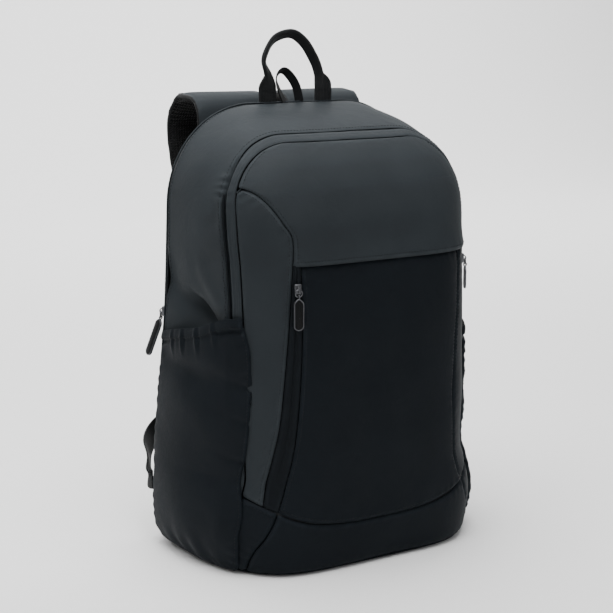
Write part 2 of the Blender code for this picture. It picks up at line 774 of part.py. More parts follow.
def bottom():
    """Flat sheet under the body."""
    half = front_half(0.0)
    rear = back_y(0.0) + LAPTOP_BAND + PAD_EDGE
    outline = []
    for share in np.linspace(-1.0, 1.0, 21):
        x = half * math.sin(0.5 * math.pi * share)
        outline.append((x, front_y(x, 0.0)))
    for x, y in ((back_half(0.0), back_y(0.0)), (back_half(0.0) - LAPTOP_NARROW, rear)):
        outline.append((x, y))
        outline.insert(0, (-x, y))
    curve = bpy.data.curves.new("bottom", "CURVE")
    curve.dimensions = "2D"
    curve.fill_mode = "BOTH"
    curve.extrude = 0.5 * BOTTOM_WALL
    spline = curve.splines.new("POLY")
    spline.points.add(len(outline) - 1)
    for point, (x, y) in zip(spline.points, outline):
        point.co = (x, y, 0.0, 1.0)
    spline.use_cyclic_u = True
    sheet = add_object("bottom", curve, COATED_CLOTH)
    sheet.location.z = 0.5 * BOTTOM_WALL
    return sheet


# Straps and webbing


def strap_points(side):
    return [
        Vector(
            (
                side * (STRAP_CENTRE + BACK_HALF * p.across),
                STRAP_REACH * p.behind,
                HEIGHT * p.height,
            )
        )
        for p in STRAP_ROUTE
    ]


def shoulder_strap(side, name):
    points = strap_points(side)
    seat = LAPTOP_BAND + SEAM + PAD_THICK + SEAT_GAP + 0.5 * STRAP_THICK
    for point in points[:2]:
        point.y = back_y(point.z) + seat
    marks = [(i / (len(STRAP_ROUTE) - 1), p.width) for i, p in enumerate(STRAP_ROUTE)]

    def place(s, t):
        width = STRAP_WIDTH * float(np.interp(t, *zip(*marks)))
        return along_route(points, t, Vector((1.0, 0.0, 0.0)), width, s)

    return ribbon(name, 3, 30, place, STRAP_THICK, SPACER_MESH)


def buckle_line(side):
    """End of the padded strap and the direction in which the buckle follows it."""
    points = strap_points(side)
    return points[-1], (points[-1] - points[-2]).normalized()


def web_points(side):
    strap_end, down = buckle_line(side)
    start = strap_end + down * (BUCKLE_HEIGHT + 2.0 * SEAT_GAP)
    free = [
        Vector((side * BACK_HALF * p.across, STRAP_REACH * p.behind, HEIGHT * p.height))
        for p in WEB_ROUTE
    ]
    seam = side_point(side, HEIGHT * WEB_SEAT, 0.0)
    back = (seam - side_point(side, HEIGHT * WEB_SEAT, LOOK)).normalized()
    out = Vector((back.y, -back.x, 0.0)) * side
    seat = seam + out * (POCKET_CLEAR + 0.5 * WALL) + back * SEAM
    return [start, start + down * WEB_LEAVE, *free, seat + back * WEB_SEAT_RUN, seat]


def strap_webbing(side, name):
    points = web_points(side)
    rolls = [0, 0, *[p.roll for p in WEB_ROUTE], 90, 90]

    def place(s, t):
        roll = math.radians(float(np.interp(t, np.linspace(0.0, 1.0, len(rolls)), rolls)))
        across = Vector((math.cos(roll), 0.0, side * math.sin(roll)))
        return along_route(points, t, across, WEB_WIDTH, s)

    return ribbon(name, 1, 28, place, WEB_THICK, WEBBING)


def flat_outline(name, loops, thick, material):
    """A plate of the given thickness; the first loop is its edge and the others are holes."""
    curve = bpy.data.curves.new(name, "CURVE")
    curve.dimensions = "2D"
    curve.fill_mode = "BOTH"
    curve.extrude = 0.5 * thick
    for loop in loops:
        spline = curve.splines.new("POLY")
        spline.points.add(len(loop) - 1)
        for point, (x, y) in zip(spline.points, loop):
            point.co = (x, y, 0.0, 1.0)
        spline.use_cyclic_u = True
    return add_object(name, curve, material)


def rectangle(width, height, middle=0.0):
    x = 0.5 * width
    return [
        (-x, middle - 0.5 * height),
        (x, middle - 0.5 * height),
        (x, middle + 0.5 * height),
        (-x, middle + 0.5 * height),
    ]


def ladder_buckle(side, name):
    """Plate with two slots between the padded strap's end and its webbing."""
    strap_end, down = buckle_line(side)
    slot = 0.5 * (BUCKLE_HEIGHT - 3.0 * BUCKLE_BAR)
    offset = 0.5 * (slot + BUCKLE_BAR)
    loops = [
        rectangle(BUCKLE_WIDTH, BUCKLE_HEIGHT),
        rectangle(WEB_WIDTH, slot, offset),
        rectangle(WEB_WIDTH, slot, -offset),
    ]
    buckle = flat_outline(name, loops, BUCKLE_THICK, MOULDED_BLACK)
    across = Vector((1.0, 0.0, 0.0))
    across = (across - down * across.dot(down)).normalized()
    buckle.location = strap_end + down * (SEAT_GAP + 0.5 * BUCKLE_HEIGHT)
    turn = Matrix((across, -down, down.cross(across))).transposed()
    buckle.rotation_euler = turn.to_euler()
    return buckle


def grab_handle():
    """Webbing loop whose ends stand open on the back seam and whose grip is folded."""
    points = [
        Vector((HANDLE_HALF * p.across, 0.0, HEIGHT + SEAT_GAP + HANDLE_RISE * p.up))
        for p in HANDLE_ROUTE
    ]
    open_shares = [p.flat for p in HANDLE_ROUTE]

    def place(s, t):
        flat = float(np.interp(t, np.linspace(0.0, 1.0, len(points)), open_shares))
        width = HANDLE_GRIP + (WEB_WIDTH - HANDLE_GRIP) * flat
        turn = math.radians(90.0 * flat)
        ahead = smooth_route(points, t + 0.01) - smooth_route(points, t - 0.01)
        sideways = Vector((ahead.z, 0.0, -ahead.x)).normalized()
        across = sideways * math.sin(turn) + Vector((0.0, math.cos(turn), 0.0))
        return smooth_route(points, t) + across * width * (s - 0.5)

    return ribbon("grab_handle", 2, 26, place, 1.6 * WEB_THICK, WEBBING)


def hang_loop():
    points = [
        Vector((HANDLE_HALF * p.across, 0.0, HEIGHT + SEAT_GAP + LOOP_RISE * p.up))
        for p in LOOP_ROUTE
    ]

    def place(s, t):
        return along_route(points, t, Vector((0.0, 1.0, 0.0)), LOOP_WIDTH, s)

    return ribbon("hang_loop", 1, 16, place, LOOP_THICK, WEBBING)


# Zip fittings


def block(name, size, middle, material, collection=PARTS, bevel=0.0):
    solid = bmesh.new()
    bmesh.ops.create_cube(solid, size=1.0)
    bmesh.ops.scale(solid, vec=size, verts=solid.verts[:])
    bmesh.ops.translate(solid, vec=middle, verts=solid.verts[:])
    if bevel:
        bmesh.ops.bevel(
            solid,
            geom=solid.edges[:],
            offset=bevel,
            offset_type="OFFSET",
            segments=1,
            profile=0.5,
            affect="EDGES",
            material=-1,
        )
    return mesh_object(name, solid, material, collection)


def cross_pin(name, middle):
    """A round cutter along X."""
    pin = bmesh.new()
    bmesh.ops.create_cone(
        pin,
        cap_ends=True,
        segments=10,
        radius1=LUG_HOLE,
        radius2=LUG_HOLE,
        depth=4.0 * LUG.x,
    )
    turn = Euler((0.0, 0.5 * math.pi, 0.0)).to_matrix()
    bmesh.ops.rotate(pin, verts=pin.verts[:], cent=(0, 0, 0), matrix=turn)
    bmesh.ops.translate(pin, vec=middle, verts=pin.verts[:])
    return mesh_object(name, pin, MOULDED_BLACK, CUTTERS)


def combine(obj, other, operation):
    boolean = obj.modifiers.new(operation.lower(), "BOOLEAN")
    boolean.operation = operation
    boolean.solver = "EXACT"
    boolean.object = other
    other.hide_render = True
    other.display_type = "WIRE"


def jump_ring(name, middle):
    """A round wire ring that lies across Y."""
    bpy.ops.mesh.primitive_torus_add(
        major_radius=RING_RADIUS,
        minor_radius=RING_WIRE,
        major_segments=14,
        minor_segments=6,
    )
    ring = bpy.context.object
    ring.name = name
    ring.data.name = name
    ring.data.materials.append(GUNMETAL)
    for collection in list(ring.users_collection):
        collection.objects.unlink(ring)
    PARTS.objects.link(ring)
    turn = Euler((0.5 * math.pi, 0.0, 0.0)).to_matrix().to_4x4()
    ring.data.transform(Matrix.Translation(middle) @ turn)
    return ring


def zip_fitting(fitting, seat):
    """Slider on the zip, ring through its lug, and pull hanging from the ring.

    It is made with the cloth at y = 0 and outwards along -Y, then carried to its seat.
    """
    name = fitting.name
    slider_middle = Vector((0.0, -SEAT_GAP - 0.5 * SLIDER.y, 0.0))
    slider = block(f"{name}_slider", SLIDER, slider_middle, GUNMETAL, bevel=0.0008)
    lug_middle = Vector((0.0, -SEAT_GAP - SLIDER.y + FITTING_LAP - 0.5 * LUG.y, 0.0))
    lug = block(f"{name}_lug", LUG, lug_middle, GUNMETAL, CUTTERS)
    hole = lug_middle - Vector((0.0, 0.5 * FITTING_LAP, 0.0))
    lug_hole = cross_pin(f"{name}_lug_hole", hole)
    combine(slider, lug, "UNION")
    combine(slider, lug_hole, "DIFFERENCE")

    ring = jump_ring(f"{name}_ring", hole - Vector((0.0, 0.0, RING_RADIUS)))

    size = Vector((PULL_WIDTH, PULL_THICK, fitting.pull_length))
    below = 0.5 * PULL_EYE.z + 0.5 * size.z - FITTING_LAP
    eye = Vector((0.0, 0.0, 0.0))
    pull = block(f"{name}_pull", size, Vector((0.0, 0.0, -below)), GUNMETAL, bevel=0.0005)
    knuckle = block(f"{name}_knuckle", PULL_EYE, eye, GUNMETAL, CUTTERS)
    eye_hole = cross_pin(f"{name}_eye_hole", eye)
    combine(pull, knuckle, "UNION")
    combine(pull, eye_hole, "DIFFERENCE")

    turn = Matrix.Rotation(math.radians(fitting.turn), 4, "Z")
    seated = Matrix.Translation(seat) @ turn
    hung = Matrix.Translation(hole - Vector((0.0, 0.0, 2.0 * RING_RADIUS)))
    leaning = seated @ hung @ Matrix.Rotation(math.radians(-fitting.lean), 4, "X")
    for piece in (slider, lug, lug_hole, ring):
        piece.matrix_world = seated
    for piece in (pull, knuckle, eye_hole):
        piece.matrix_world = leaning


def zip_fittings():
    z = ZIP_TOP * FRONT_FITTING.height
    middle = 0.5 * (seam_x(PLACKET_LEFT, z) + seam_x(PLACKET_RIGHT, z))
    zip_fitting(FRONT_FITTING, front_point(middle, z))
    z = ZIP_TOP * LAPTOP_FITTING.height
    band = Vector((0.5 * LAPTOP_NARROW - back_half(z), 0.5 * LAPTOP_BAND + back_y(z), z))
    zip_fitting(LAPTOP_FITTING, band)
    z = ZIP_TOP * MAIN_FITTING.height
    zip_fitting(MAIN_FITTING, front_point(0.5 * (inner_zip_x(z) + front_half(z)), z))


def stand_on_origin():
    """Moves everything together so that the origin is under the middle of the backpack."""
    bpy.context.view_layer.update()
    graph = bpy.context.evaluated_depsgraph_get()
    corners = []
    for obj in PARTS.objects:
        shown = obj.evaluated_get(graph)
        mesh = shown.to_mesh()
        corners += [shown.matrix_world @ vertex.co for vertex in mesh.vertices]
        shown.to_mesh_clear()
    low = Vector([min(c[i] for c in corners) for i in range(3)])
    high = Vector([max(c[i] for c in corners) for i in range(3)])
    root = bpy.data.objects.new("backpack", None)
    PARTS.objects.link(root)
    for obj in list(PARTS.objects) + list(CUTTERS.objects):
        if obj is not root:
            obj.parent = root
    root.location = (-0.5 * (low.x + high.x), -0.5 * (low.y + high.y), -low.z)


def main():
    gusset()
    laptop_band()
    main_zip_strip()
    back_panel()
    front_upper()
    front_side_left()
    front_side_right()
    front_zip_placket()
    front_pocket()
    base_front()
    bottom()
    for side, word in ((-1.0, "left"), (1.0, "right")):
        base_corner(side, f"base_corner_{word}")
        side_pocket(side, word)
        shoulder_strap(side, f"shoulder_strap_{word}")
        strap_webbing(side, f"strap_webbing_{word}")
        ladder_buckle(side, f"strap_buckle_{word}")
    grab_handle()
    hang_loop()
    zip_fittings()
    stand_on_origin()


main()
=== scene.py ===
"""Laptop backpack in a plain studio: sewn cloth panels, padded back and straps, webbing and zips.

Every piece is laid on the same surfaces as the solids that it stands for. Across is X, the wearer's
back is towards +Y and Z is up from the floor, all in metres.
"""

import math
from collections import namedtuple

import bmesh
import bpy
import numpy as np
from mathutils import Matrix, Vector


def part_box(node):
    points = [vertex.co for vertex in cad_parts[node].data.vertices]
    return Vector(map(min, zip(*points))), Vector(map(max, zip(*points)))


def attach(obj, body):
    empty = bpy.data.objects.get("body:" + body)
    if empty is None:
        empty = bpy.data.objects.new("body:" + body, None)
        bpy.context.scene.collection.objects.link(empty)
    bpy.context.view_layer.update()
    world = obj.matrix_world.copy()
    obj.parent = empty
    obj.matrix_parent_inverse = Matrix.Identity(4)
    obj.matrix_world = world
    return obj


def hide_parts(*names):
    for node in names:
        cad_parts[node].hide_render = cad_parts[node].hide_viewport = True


bl_info = {
    "name": "Laptop Backpack",
    "version": (1, 0, 0),
    "blender": (4, 5, 0),
    "location": "3D View > Sidebar > Backpack",
    "description": "Builds a laptop backpack and its studio piece by piece",
    "category": "Add Mesh",
}

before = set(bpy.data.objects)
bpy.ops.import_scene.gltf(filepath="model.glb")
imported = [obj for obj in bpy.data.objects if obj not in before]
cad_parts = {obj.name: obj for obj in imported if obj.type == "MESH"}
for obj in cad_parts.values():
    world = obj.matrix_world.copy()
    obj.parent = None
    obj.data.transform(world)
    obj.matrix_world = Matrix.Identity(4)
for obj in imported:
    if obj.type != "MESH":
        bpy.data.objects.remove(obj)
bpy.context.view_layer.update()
HANDLE_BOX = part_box("grab_handle")
SEAM_Y = 0.5 * (HANDLE_BOX[0][1] + HANDLE_BOX[1][1])  # the back seam's place

# Body sizes
HEIGHT = 0.450  # floor to the top of the back seam
BACK_HALF = 0.149
BACK_CORNER = 0.095
DEPTH = 0.160  # back seam to the front of the base
ZIP_TOP = 0.426  # top of the main zip's arch
ZIP_HALF = 0.141
ZIP_CORNER = 0.074
ZIP_BAND = 0.0075
ZIP_BAND_DRAW = 0.010
FRONT_SQUARE = 5.5
GUSSET_CROWN = 0.003
LAPTOP_BAND = 0.010
LAPTOP_NARROW = 0.007
WALL = 0.0016
SEAM = 0.0006
EDGE_GAP = 0.0014
FOOT = 0.0026  # height of the panels' lower edges, on the bottom sheet
PAD_EDGE = 0.006
PAD_CROWN = 0.006
PAD_PRESSURE = 4.0  # fills the pads in the cloth simulation
CLOTH_FRAMES = 20
CHANNEL_DEPTH = 0.0034  # sewn lines of the back panel
PAD_BINDING = 0.0065
BODY_MIDDLE = np.array((0.0, SEAM_Y - 0.45 * DEPTH, 0.45 * HEIGHT))

# Straps, webbing, handle and loop
STRAP_WIDTH = 0.076
STRAP_THICK = 0.008
STRAP_CENTRE = 0.062
YOKE_FLARE = 0.019  # the straps broaden inwards over their arch until they nearly meet
ARCH_FLARE = 0.005
STRAP_REACH = 0.094
SEAT_GAP = 0.0004
WEB_WIDTH = 0.020
WEB_THICK = 0.0018
HANDLE_HALF = 0.0335
HANDLE_RISE = 0.070
LOOP_RISE = 0.032
LOOP_WIDTH = 0.009
BUCKLE_HEIGHT = 0.026
STRAP_BINDING = 0.0062
LOOP_THICK = 0.0013
TAB_BOX_HALF = 0.0065  # half width of the stitched box at each end of the handle

# Sewing
THREAD = 0.00034
THREAD_PROUD = 0.0001
PUCKER_WOBBLE = 0.05  # wavelengths of the uneven puckers and of the rubbed patches
RUB_PATCH = 0.03

# Cords in the seams
BASE_BINDING = 0.0032  # rolled binding behind the base seam
BASE_BINDING_HALF = 0.124
BINDING_DEPTH = 0.006
FOOT_BINDING = 0.0024  # and along the foot of the back
FOOT_BINDING_HALF = 0.143
GAP_SHADE_COIL_RADIUS = 0.0014  # the main zip's coil shows in its open seam on the left; laid only there, it is also painted shade in that gap
GAP_SHADE_COIL_SUNK = 0.0012

# Side pockets
POCKET_FILL = 0.0085
POCKET_CLEAR = 0.0013
POCKET_REACH = 0.985
MOUTH_DENT = 0.0085

# Zip fittings
SLIDER = Vector((0.0075, 0.0032, 0.0100))
LUG_DEPTH = 0.0034
FITTING_LAP = 0.0005
RING_RADIUS = 0.0034
RING_WIRE = 0.0007
PULL_WIDTH = 0.010
PULL_THICK = 0.0018
PULL_DROP = 0.0015  # the ring's lowest point to the top of the pull

# Shares of half an arch, from its crown, taken by its flat top and by its shoulder
FLAT = 0.12
TURN = 0.34
FOOT_ROWS = 1.45  # more than 1 crowds rows of cloth towards the floor

# Height and, in shares, half width and depth of the back seam
BACK_SECTIONS = (
    (0.000, 0.965, 0.020),
    (0.027, 1.050, 0.085),
    (0.060, 1.078, 0.105),
    (0.133, 1.085, 0.110),
    (0.222, 1.075, 0.100),
    (0.400, 1.048, 0.065),
    (0.567, 1.020, 0.030),
    (0.733, 1.007, 0.012),
    (0.889, 1.000, 0.000),
    (1.000, 1.000, 0.000),
)
# Height and, in shares, half width, depth of the zip line and depth of the middle of the front
FRONT_SECTIONS = (
    (0.000, 1.014, 0.594, 0.956),
    (0.028, 1.045, 0.606, 0.988),
    (0.103, 1.070, 0.635, 1.000),
    (0.141, 1.052, 0.644, 0.998),
    (0.188, 1.012, 0.643, 0.994),
    (0.230, 0.980, 0.640, 0.991),
    (0.352, 0.990, 0.637, 0.981),
    (0.469, 0.990, 0.634, 0.975),
    (0.587, 0.980, 0.631, 0.969),
    (0.721, 0.990, 0.617, 0.950),
    (0.798, 1.000, 0.600, 0.925),
    (0.869, 1.000, 0.581, 0.869),
    (0.927, 1.000, 0.563, 0.781),
    (0.967, 1.000, 0.540, 0.681),
    (0.988, 1.000, 0.526, 0.600),
    (1.000, 1.000, 0.519, 0.519),
)
# Seams of the front: height as a share of ZIP_TOP, across as a share of ZIP_HALF
FLAP_HEIGHT = 0.721
SHOULDER_SEAM = (
    (0.889, -0.910),
    (0.886, -0.882),
    (0.879, -0.846),
    (0.866, -0.808),
    (0.842, -0.757),
    (0.809, -0.701),
    (0.785, -0.660),
    (0.755, -0.655),
    (0.721, -0.665),
)
PLACKET_LEFT = (
    (0.721, -0.665),
    (0.613, -0.690),
    (0.486, -0.724),
    (0.361, -0.762),
    (0.286, -0.802),
    (0.169, -0.873),
)
PLACKET_RIGHT = (
    (0.721, -0.608),
    (0.563, -0.611),
    (0.439, -0.629),
    (0.317, -0.667),
    (0.219, -0.732),
    (0.156, -0.792),
)
POCKET_RIGHT = (
    (0.721, 0.766),
    (0.587, 0.738),
    (0.446, 0.695),
    (0.376, 0.681),
    (0.237, 0.692),
    (0.172, 0.745),
    (0.156, 0.792),
)
CORNER_SEAM = (
    (0.000, -0.935),
    (0.027, -0.940),
    (0.061, -0.921),
    (0.093, -0.875),
    (0.136, -0.816),
    (0.156, -0.792),
)
SIDE_POCKET_SEAM = (
    (0.000, -0.965),
    (0.059, -0.985),
    (0.099, -0.992),
    (0.146, -0.968),
    (0.202, -0.948),
    (0.303, -0.915),
    (0.415, -0.900),
    (0.511, -0.897),
    (0.592, -0.926),
)
BASE_MIDDLE = 0.111
BASE_RISE = 0.045
CORNER_TOP = 0.187
# Top edge of a side pocket from back to front: along, left height, right height
POCKET_HEM = (
    (0.00, 0.500, 0.500),
    (0.30, 0.517, 0.512),
    (0.60, 0.533, 0.515),
    (0.85, 0.556, 0.502),
    (1.00, 0.568, 0.490),
)
POCKET_FULLNESS = ((0.00, 0.00), (0.15, 0.80), (0.45, 1.00), (0.85, 0.62), (1.00, 0.36))

# Dents of the sides: side, height, back (0 at the back seam, 1 at the zip), deep, tall and long
DENTS = (
    (-1, 0.535, 0.55, 1.0, 0.070, 0.28),
    (1, 0.520, 0.58, 1.0, 0.070, 0.30),
    (-1, 0.640, 0.12, 0.35, 0.040, 0.16),
)
# Creases of the sides, from one (height, back) to another. Negative is a ridge.
Crease = namedtuple("Crease", "side start end deep wide")
CREASES = (
    Crease(-1, (0.622, -0.05), (0.505, 0.98), 0.0060, 0.0095),
    Crease(-1, (0.590, 0.42), (0.545, 0.66), 0.0085, 0.0070),
    Crease(-1, (0.665, 0.62), (0.555, 0.96), -0.0026, 0.0075),
    Crease(-1, (0.700, 1.00), (0.665, 0.55), 0.0018, 0.0070),
    Crease(-1, (0.770, 1.00), (0.758, 0.70), 0.0014, 0.0040),
    Crease(1, (0.615, -0.05), (0.495, 0.95), 0.0050, 0.0095),
    Crease(1, (0.640, 0.95), (0.570, 0.60), -0.0012, 0.0060),
    Crease(1, (0.740, 1.00), (0.700, 0.50), 0.0010, 0.0065),
)

# Route of the left strap's middle: across, behind, height and width, in shares
STRAP_ROUTE = (
    (0.00, 0.245, 0.905, 1.00),
    (0.00, 0.250, 0.955, 1.00),
    (0.00, 0.370, 1.003, 1.00),
    (0.00, 0.610, 1.016, 1.00),
    (0.00, 0.860, 1.000, 1.00),
    (0.00, 1.010, 0.945, 1.00),
    (0.00, 0.970, 0.872, 1.00),
    (0.01, 0.840, 0.780, 0.96),
    (0.04, 0.740, 0.680, 0.90),
    (0.09, 0.660, 0.580, 0.80),
    (0.13, 0.610, 0.490, 0.62),
    (0.15, 0.590, 0.440, 0.46),
)
# Route of the left webbing below its buckle: across, behind, height and roll in degrees
WEB_ROUTE = (
    (0.670, 0.680, 0.297, 12),
    (0.765, 0.775, 0.258, 25),
    (0.893, 0.766, 0.225, 45),
    (1.007, 0.590, 0.201, 65),
    (1.072, 0.355, 0.176, 82),
)
WEB_LEAVE = 0.020
WEB_SEAT = 0.147
WEB_SEAT_RUN = 0.007
# Route of the grab handle: across, up, and how open the webbing lies
HANDLE_ROUTE = (
    (-1.00, 0.00, 1.0),
    (-1.01, 0.20, 1.0),
    (-1.04, 0.40, 0.5),
    (-1.13, 0.60, 0.0),
    (-1.00, 0.79, 0.0),
    (-0.66, 0.95, 0.0),
    (-0.15, 1.00, 0.0),
    (0.32, 0.87, 0.0),
    (0.66, 0.64, 0.0),
    (0.93, 0.40, 0.5),
    (1.00, 0.24, 0.95),
    (1.00, 0.00, 1.0),
)
LOOP_ROUTE = (
    (-0.40, 0.00),
    (-0.62, 0.45),
    (-0.68, 0.80),
    (-0.48, 1.00),
    (-0.22, 0.84),
    (0.02, 0.48),
    (0.14, 0.00),
)
Fitting = namedtuple("Fitting", "name height turn lean twist pull_length")
FRONT_FITTING = Fitting("front_zip", 0.669, -14, 0, 0, 0.031)
LAPTOP_FITTING = Fitting("laptop_zip", 0.572, -125, 20, 40, 0.040)
MAIN_FITTING = Fitting("main_zip", 0.680, 60, 0, 0, 0.024)

# Camera: the spot it looks at, how far it stands, and the angle of view
LOOK_AT = Vector((-0.0157, -0.0135, 0.2437))
CAMERA_AWAY = 1.56873
CAMERA_TURN = math.radians(32.28)
CAMERA_DOWN = math.radians(11.03)
SENSOR = 36.0
FOCAL = 1525.0 * SENSOR / 613.0

# Floor: its half size, where it starts to curve up into the backdrop, and how
FLOOR_HALF = 5.0
SWEEP_START = 2.2
SWEEP_RADIUS = 0.8
BACKDROP_RISE = 3.0


# Curves and the body's surfaces


def curve(table, column, key_scale=1.0, scale=1.0):
    """A function of the table's first column that passes through another and never overshoots."""
    rows = sorted(table)
    keys = np.array([row[0] * key_scale for row in rows])
    values = np.array([row[column] * scale for row in rows])
    steps = np.diff(keys)
    rises = np.diff(values) / steps
    both = rises[:-1] + rises[1:]
    turning = rises[:-1] * rises[1:] <= 0
    inner = np.where(turning, 0.0, 2.0 * rises[:-1] * rises[1:] / np.where(turning, 1.0, both))
    slopes = np.concatenate((rises[:1], inner, rises[-1:]))
    dense = np.linspace(keys[0], keys[-1], 600)
    i = np.clip(np.searchsorted(keys, dense, side="right") - 1, 0, len(steps) - 1)
    t = (dense - keys[i]) / steps[i]
    start = values[i] * (1 + 2 * t) * (1 - t) ** 2 + slopes[i] * steps[i] * t * (1 - t) ** 2
    end = values[i + 1] * t * t * (3 - 2 * t) + slopes[i + 1] * steps[i] * t * t * (t - 1)
    samples = start + end
    return lambda place: np.interp(place, dense, samples)


back_half = curve(BACK_SECTIONS, 1, HEIGHT, BACK_HALF)
back_y = curve(BACK_SECTIONS, 2, HEIGHT, DEPTH)
zip_half = curve(FRONT_SECTIONS, 1, ZIP_TOP, ZIP_HALF)
zip_y = curve(FRONT_SECTIONS, 2, ZIP_TOP, -DEPTH)
deepest_y = curve(FRONT_SECTIONS, 3, ZIP_TOP, -DEPTH)
placket_left_x = curve(PLACKET_LEFT, 1, ZIP_TOP, ZIP_HALF)
placket_right_x = curve(PLACKET_RIGHT, 1, ZIP_TOP, ZIP_HALF)
pocket_right_x = curve(POCKET_RIGHT, 1, ZIP_TOP, ZIP_HALF)
corner_x = curve(CORNER_SEAM, 1, ZIP_TOP, ZIP_HALF)
side_seam_x = curve(SIDE_POCKET_SEAM, 1, ZIP_TOP, ZIP_HALF)
pocket_fullness = curve(POCKET_FULLNESS, 1)


def spot(x, y, z):
    """Points from the body's own X, Y behind the back seam and Z."""
    x, y, z = np.broadcast_arrays(x, y, z)
    return np.stack((x, y + SEAM_Y, z), axis=-1)


def arch_half(z, half, top, corner):
    rise = np.clip((z - top + corner) / corner, 0.0, 1.0)
    return half - corner + corner * np.sqrt(1.0 - rise * rise)


def front_half(z):
    return arch_half(z, zip_half(z), ZIP_TOP, ZIP_CORNER)


def front_y(x, z):
    share = np.minimum(np.abs(x) / np.maximum(front_half(z), WALL), 1.0)
    return zip_y(z) - (zip_y(z) - deepest_y(z)) * (1.0 - share**FRONT_SQUARE)


def front_point(x, z):
    return spot(x, front_y(x, z), z)


def arch_point(u, half_at, top, corner):
    """X, Z and turn at share u of an arch: -1 and 1 at its feet, 0 at its crown."""
    share = np.abs(u)
    turned = 0.5 * np.pi * np.clip((share - FLAT) / TURN, 0.0, 1.0)
    above = np.clip(1.0 - (share - FLAT - TURN) / (1.0 - FLAT - TURN), 0.0, 1.0) ** FOOT_ROWS
    z = np.where(
        share < FLAT + TURN,
        top - corner + corner * np.cos(turned),
        FOOT + (top - corner - FOOT) * above,
    )
    half = half_at(z)
    x = np.where(
        share < FLAT, (half - corner) * share / FLAT, half - corner + corner * np.sin(turned)
    )
    x = np.where(share >= FLAT + TURN, half, x)
    return np.sign(u) * x, z, turned


def dent_depth(side, height, back):
    depth = np.zeros_like(height)
    for dent_side, dent_height, dent_back, deep, tall, long in DENTS:
        away = ((height - dent_height) / tall) ** 2 + ((back - dent_back) / long) ** 2
        depth += np.where(side * dent_side > 0, MOUTH_DENT * deep * np.exp(-away), 0.0)
    return depth


def gusset_point(u, v):
    """Surface of the sides and roof: u along the arch, v from the back seam to the zip line."""
    x_back, z_back, turned = arch_point(u, back_half, HEIGHT, BACK_CORNER)
    x_zip, z_zip, _ = arch_point(u, zip_half, ZIP_TOP, ZIP_CORNER)
    x = x_back + (x_zip - x_back) * v
    y = back_y(z_back) + (zip_y(z_zip) - back_y(z_back)) * v
    z = z_back + (z_zip - z_back) * v
    side = np.sign(u)
    bow = GUSSET_CROWN * np.sin(np.pi * v) - dent_depth(side, z / HEIGHT, v)
    return spot(x + side * np.sin(turned) * bow, y, z + np.cos(turned) * bow)


def side_point(side, z, q):
    """The same surface without its dents: q is 0 at the back seam, 1 at the zip, 2 mid-front."""
    share = np.minimum(q, 1.0)
    x = back_half(z) + (zip_half(z) - back_half(z)) * share + GUSSET_CROWN * np.sin(np.pi * share)
    y = back_y(z) + (zip_y(z) - back_y(z)) * share
    x_front = front_half(z) * (2.0 - np.maximum(q, 1.0))
    beyond = q > 1.0
    x = np.where(beyond, x_front, x)
    return spot(side * x, np.where(beyond, front_y(x_front, z), y), z)


def inner_zip_x(z):
    return arch_half(z, zip_half(z) - ZIP_BAND, ZIP_TOP - ZIP_BAND, ZIP_CORNER - ZIP_BAND_DRAW)


def base_seam_z(x):
    share = np.minimum(np.abs(x) / (ZIP_HALF * abs(CORNER_SEAM[-1][1])), 1.0)
    return ZIP_TOP * (BASE_MIDDLE + BASE_RISE * share**3)


def smooth_route(points, shares):
    """Places at shares of a smooth curve through all the points."""
    points = np.asarray(points, float)
    last = len(points) - 1
    place = np.clip(shares, 0.0, 1.0) * last
    i = np.minimum(place.astype(int), last - 1)
    t = (place - i)[..., None]
    start, end = points[i], points[i + 1]
    ahead = end - points[np.maximum(i - 1, 0)]
    onward = points[np.minimum(i + 2, last)] - start
    span = np.linalg.norm(end - start, axis=-1, keepdims=True)
    leave = ahead / np.linalg.norm(ahead, axis=-1, keepdims=True) * span
    arrive = onward / np.linalg.norm(onward, axis=-1, keepdims=True) * span
    return (
        start * ((1 + 2 * t) * (1 - t) ** 2)
        + leave * (t * (1 - t) ** 2)
        + end * (t * t * (3 - 2 * t))
        + arrive * (t * t * (t - 1))
    )


def shoulder_seam_at(share):
    flat = np.array([(ZIP_HALF * row[1], 0.0, ZIP_TOP * row[0]) for row in SHOULDER_SEAM])
    places = smooth_route(flat, share)
    return places[..., 0], places[..., 2]


def inset(share, gap, length):
    """Moves a share of a length in from both ends by half a gap."""
    edge = np.minimum(0.5 * gap / np.maximum(length, gap), 0.45)
    return edge + share * (1.0 - 2.0 * edge)


def between(x_left, z_left, x_right, z_right, s):
    """Place on the front between two seen places, with a seam's gap at each."""
    s = inset(s, SEAM, np.hypot(x_right - x_left, z_right - z_left))
    return front_point(x_left + (x_right - x_left) * s, z_left + (z_right - z_left) * s)


# Materials

NOISE, WAVE, MATH = "ShaderNodeTexNoise", "ShaderNodeTexWave", "ShaderNodeMath"
MIX, RANGE, BUMP = "ShaderNodeMix", "ShaderNodeMapRange", "ShaderNodeBump"
RGBA = {"data_type": "RGBA"}


def linear(hexadecimal):
    """An sRGB hex colour as linear red, green, blue and 1."""
    parts = [int(hexadecimal[i : i + 2], 16) / 255.0 for i in (1, 3, 5)]
    return (*[p / 12.92 if p <= 0.04045 else ((p + 0.055) / 1.055) ** 2.4 for p in parts], 1.0)


def shaded(colour, factor):
    return (*[channel * factor for channel in colour[:3]], 1.0)


def add_node(tree, kind, settings, sockets):
    """Adds a node; each socket is given a value or another node's output."""
    node = tree.nodes.new(kind)
    for field, value in settings.items():
        setattr(node, field, value)
    for socket, value in sockets.items():
        if isinstance(value, bpy.types.NodeSocket):
            tree.links.new(value, node.inputs[socket])
        else:
            node.inputs[socket].default_value = value
    return node


def per_metre(millimetres):
    """Texture scale for features of that size, on coordinates in metres."""
    return 1000.0 / millimetres


def wave_scale(millimetres):
    """Wave Texture scale for bands of that pitch."""
    return 2.0 * math.pi / (20.0 * millimetres * 0.001)


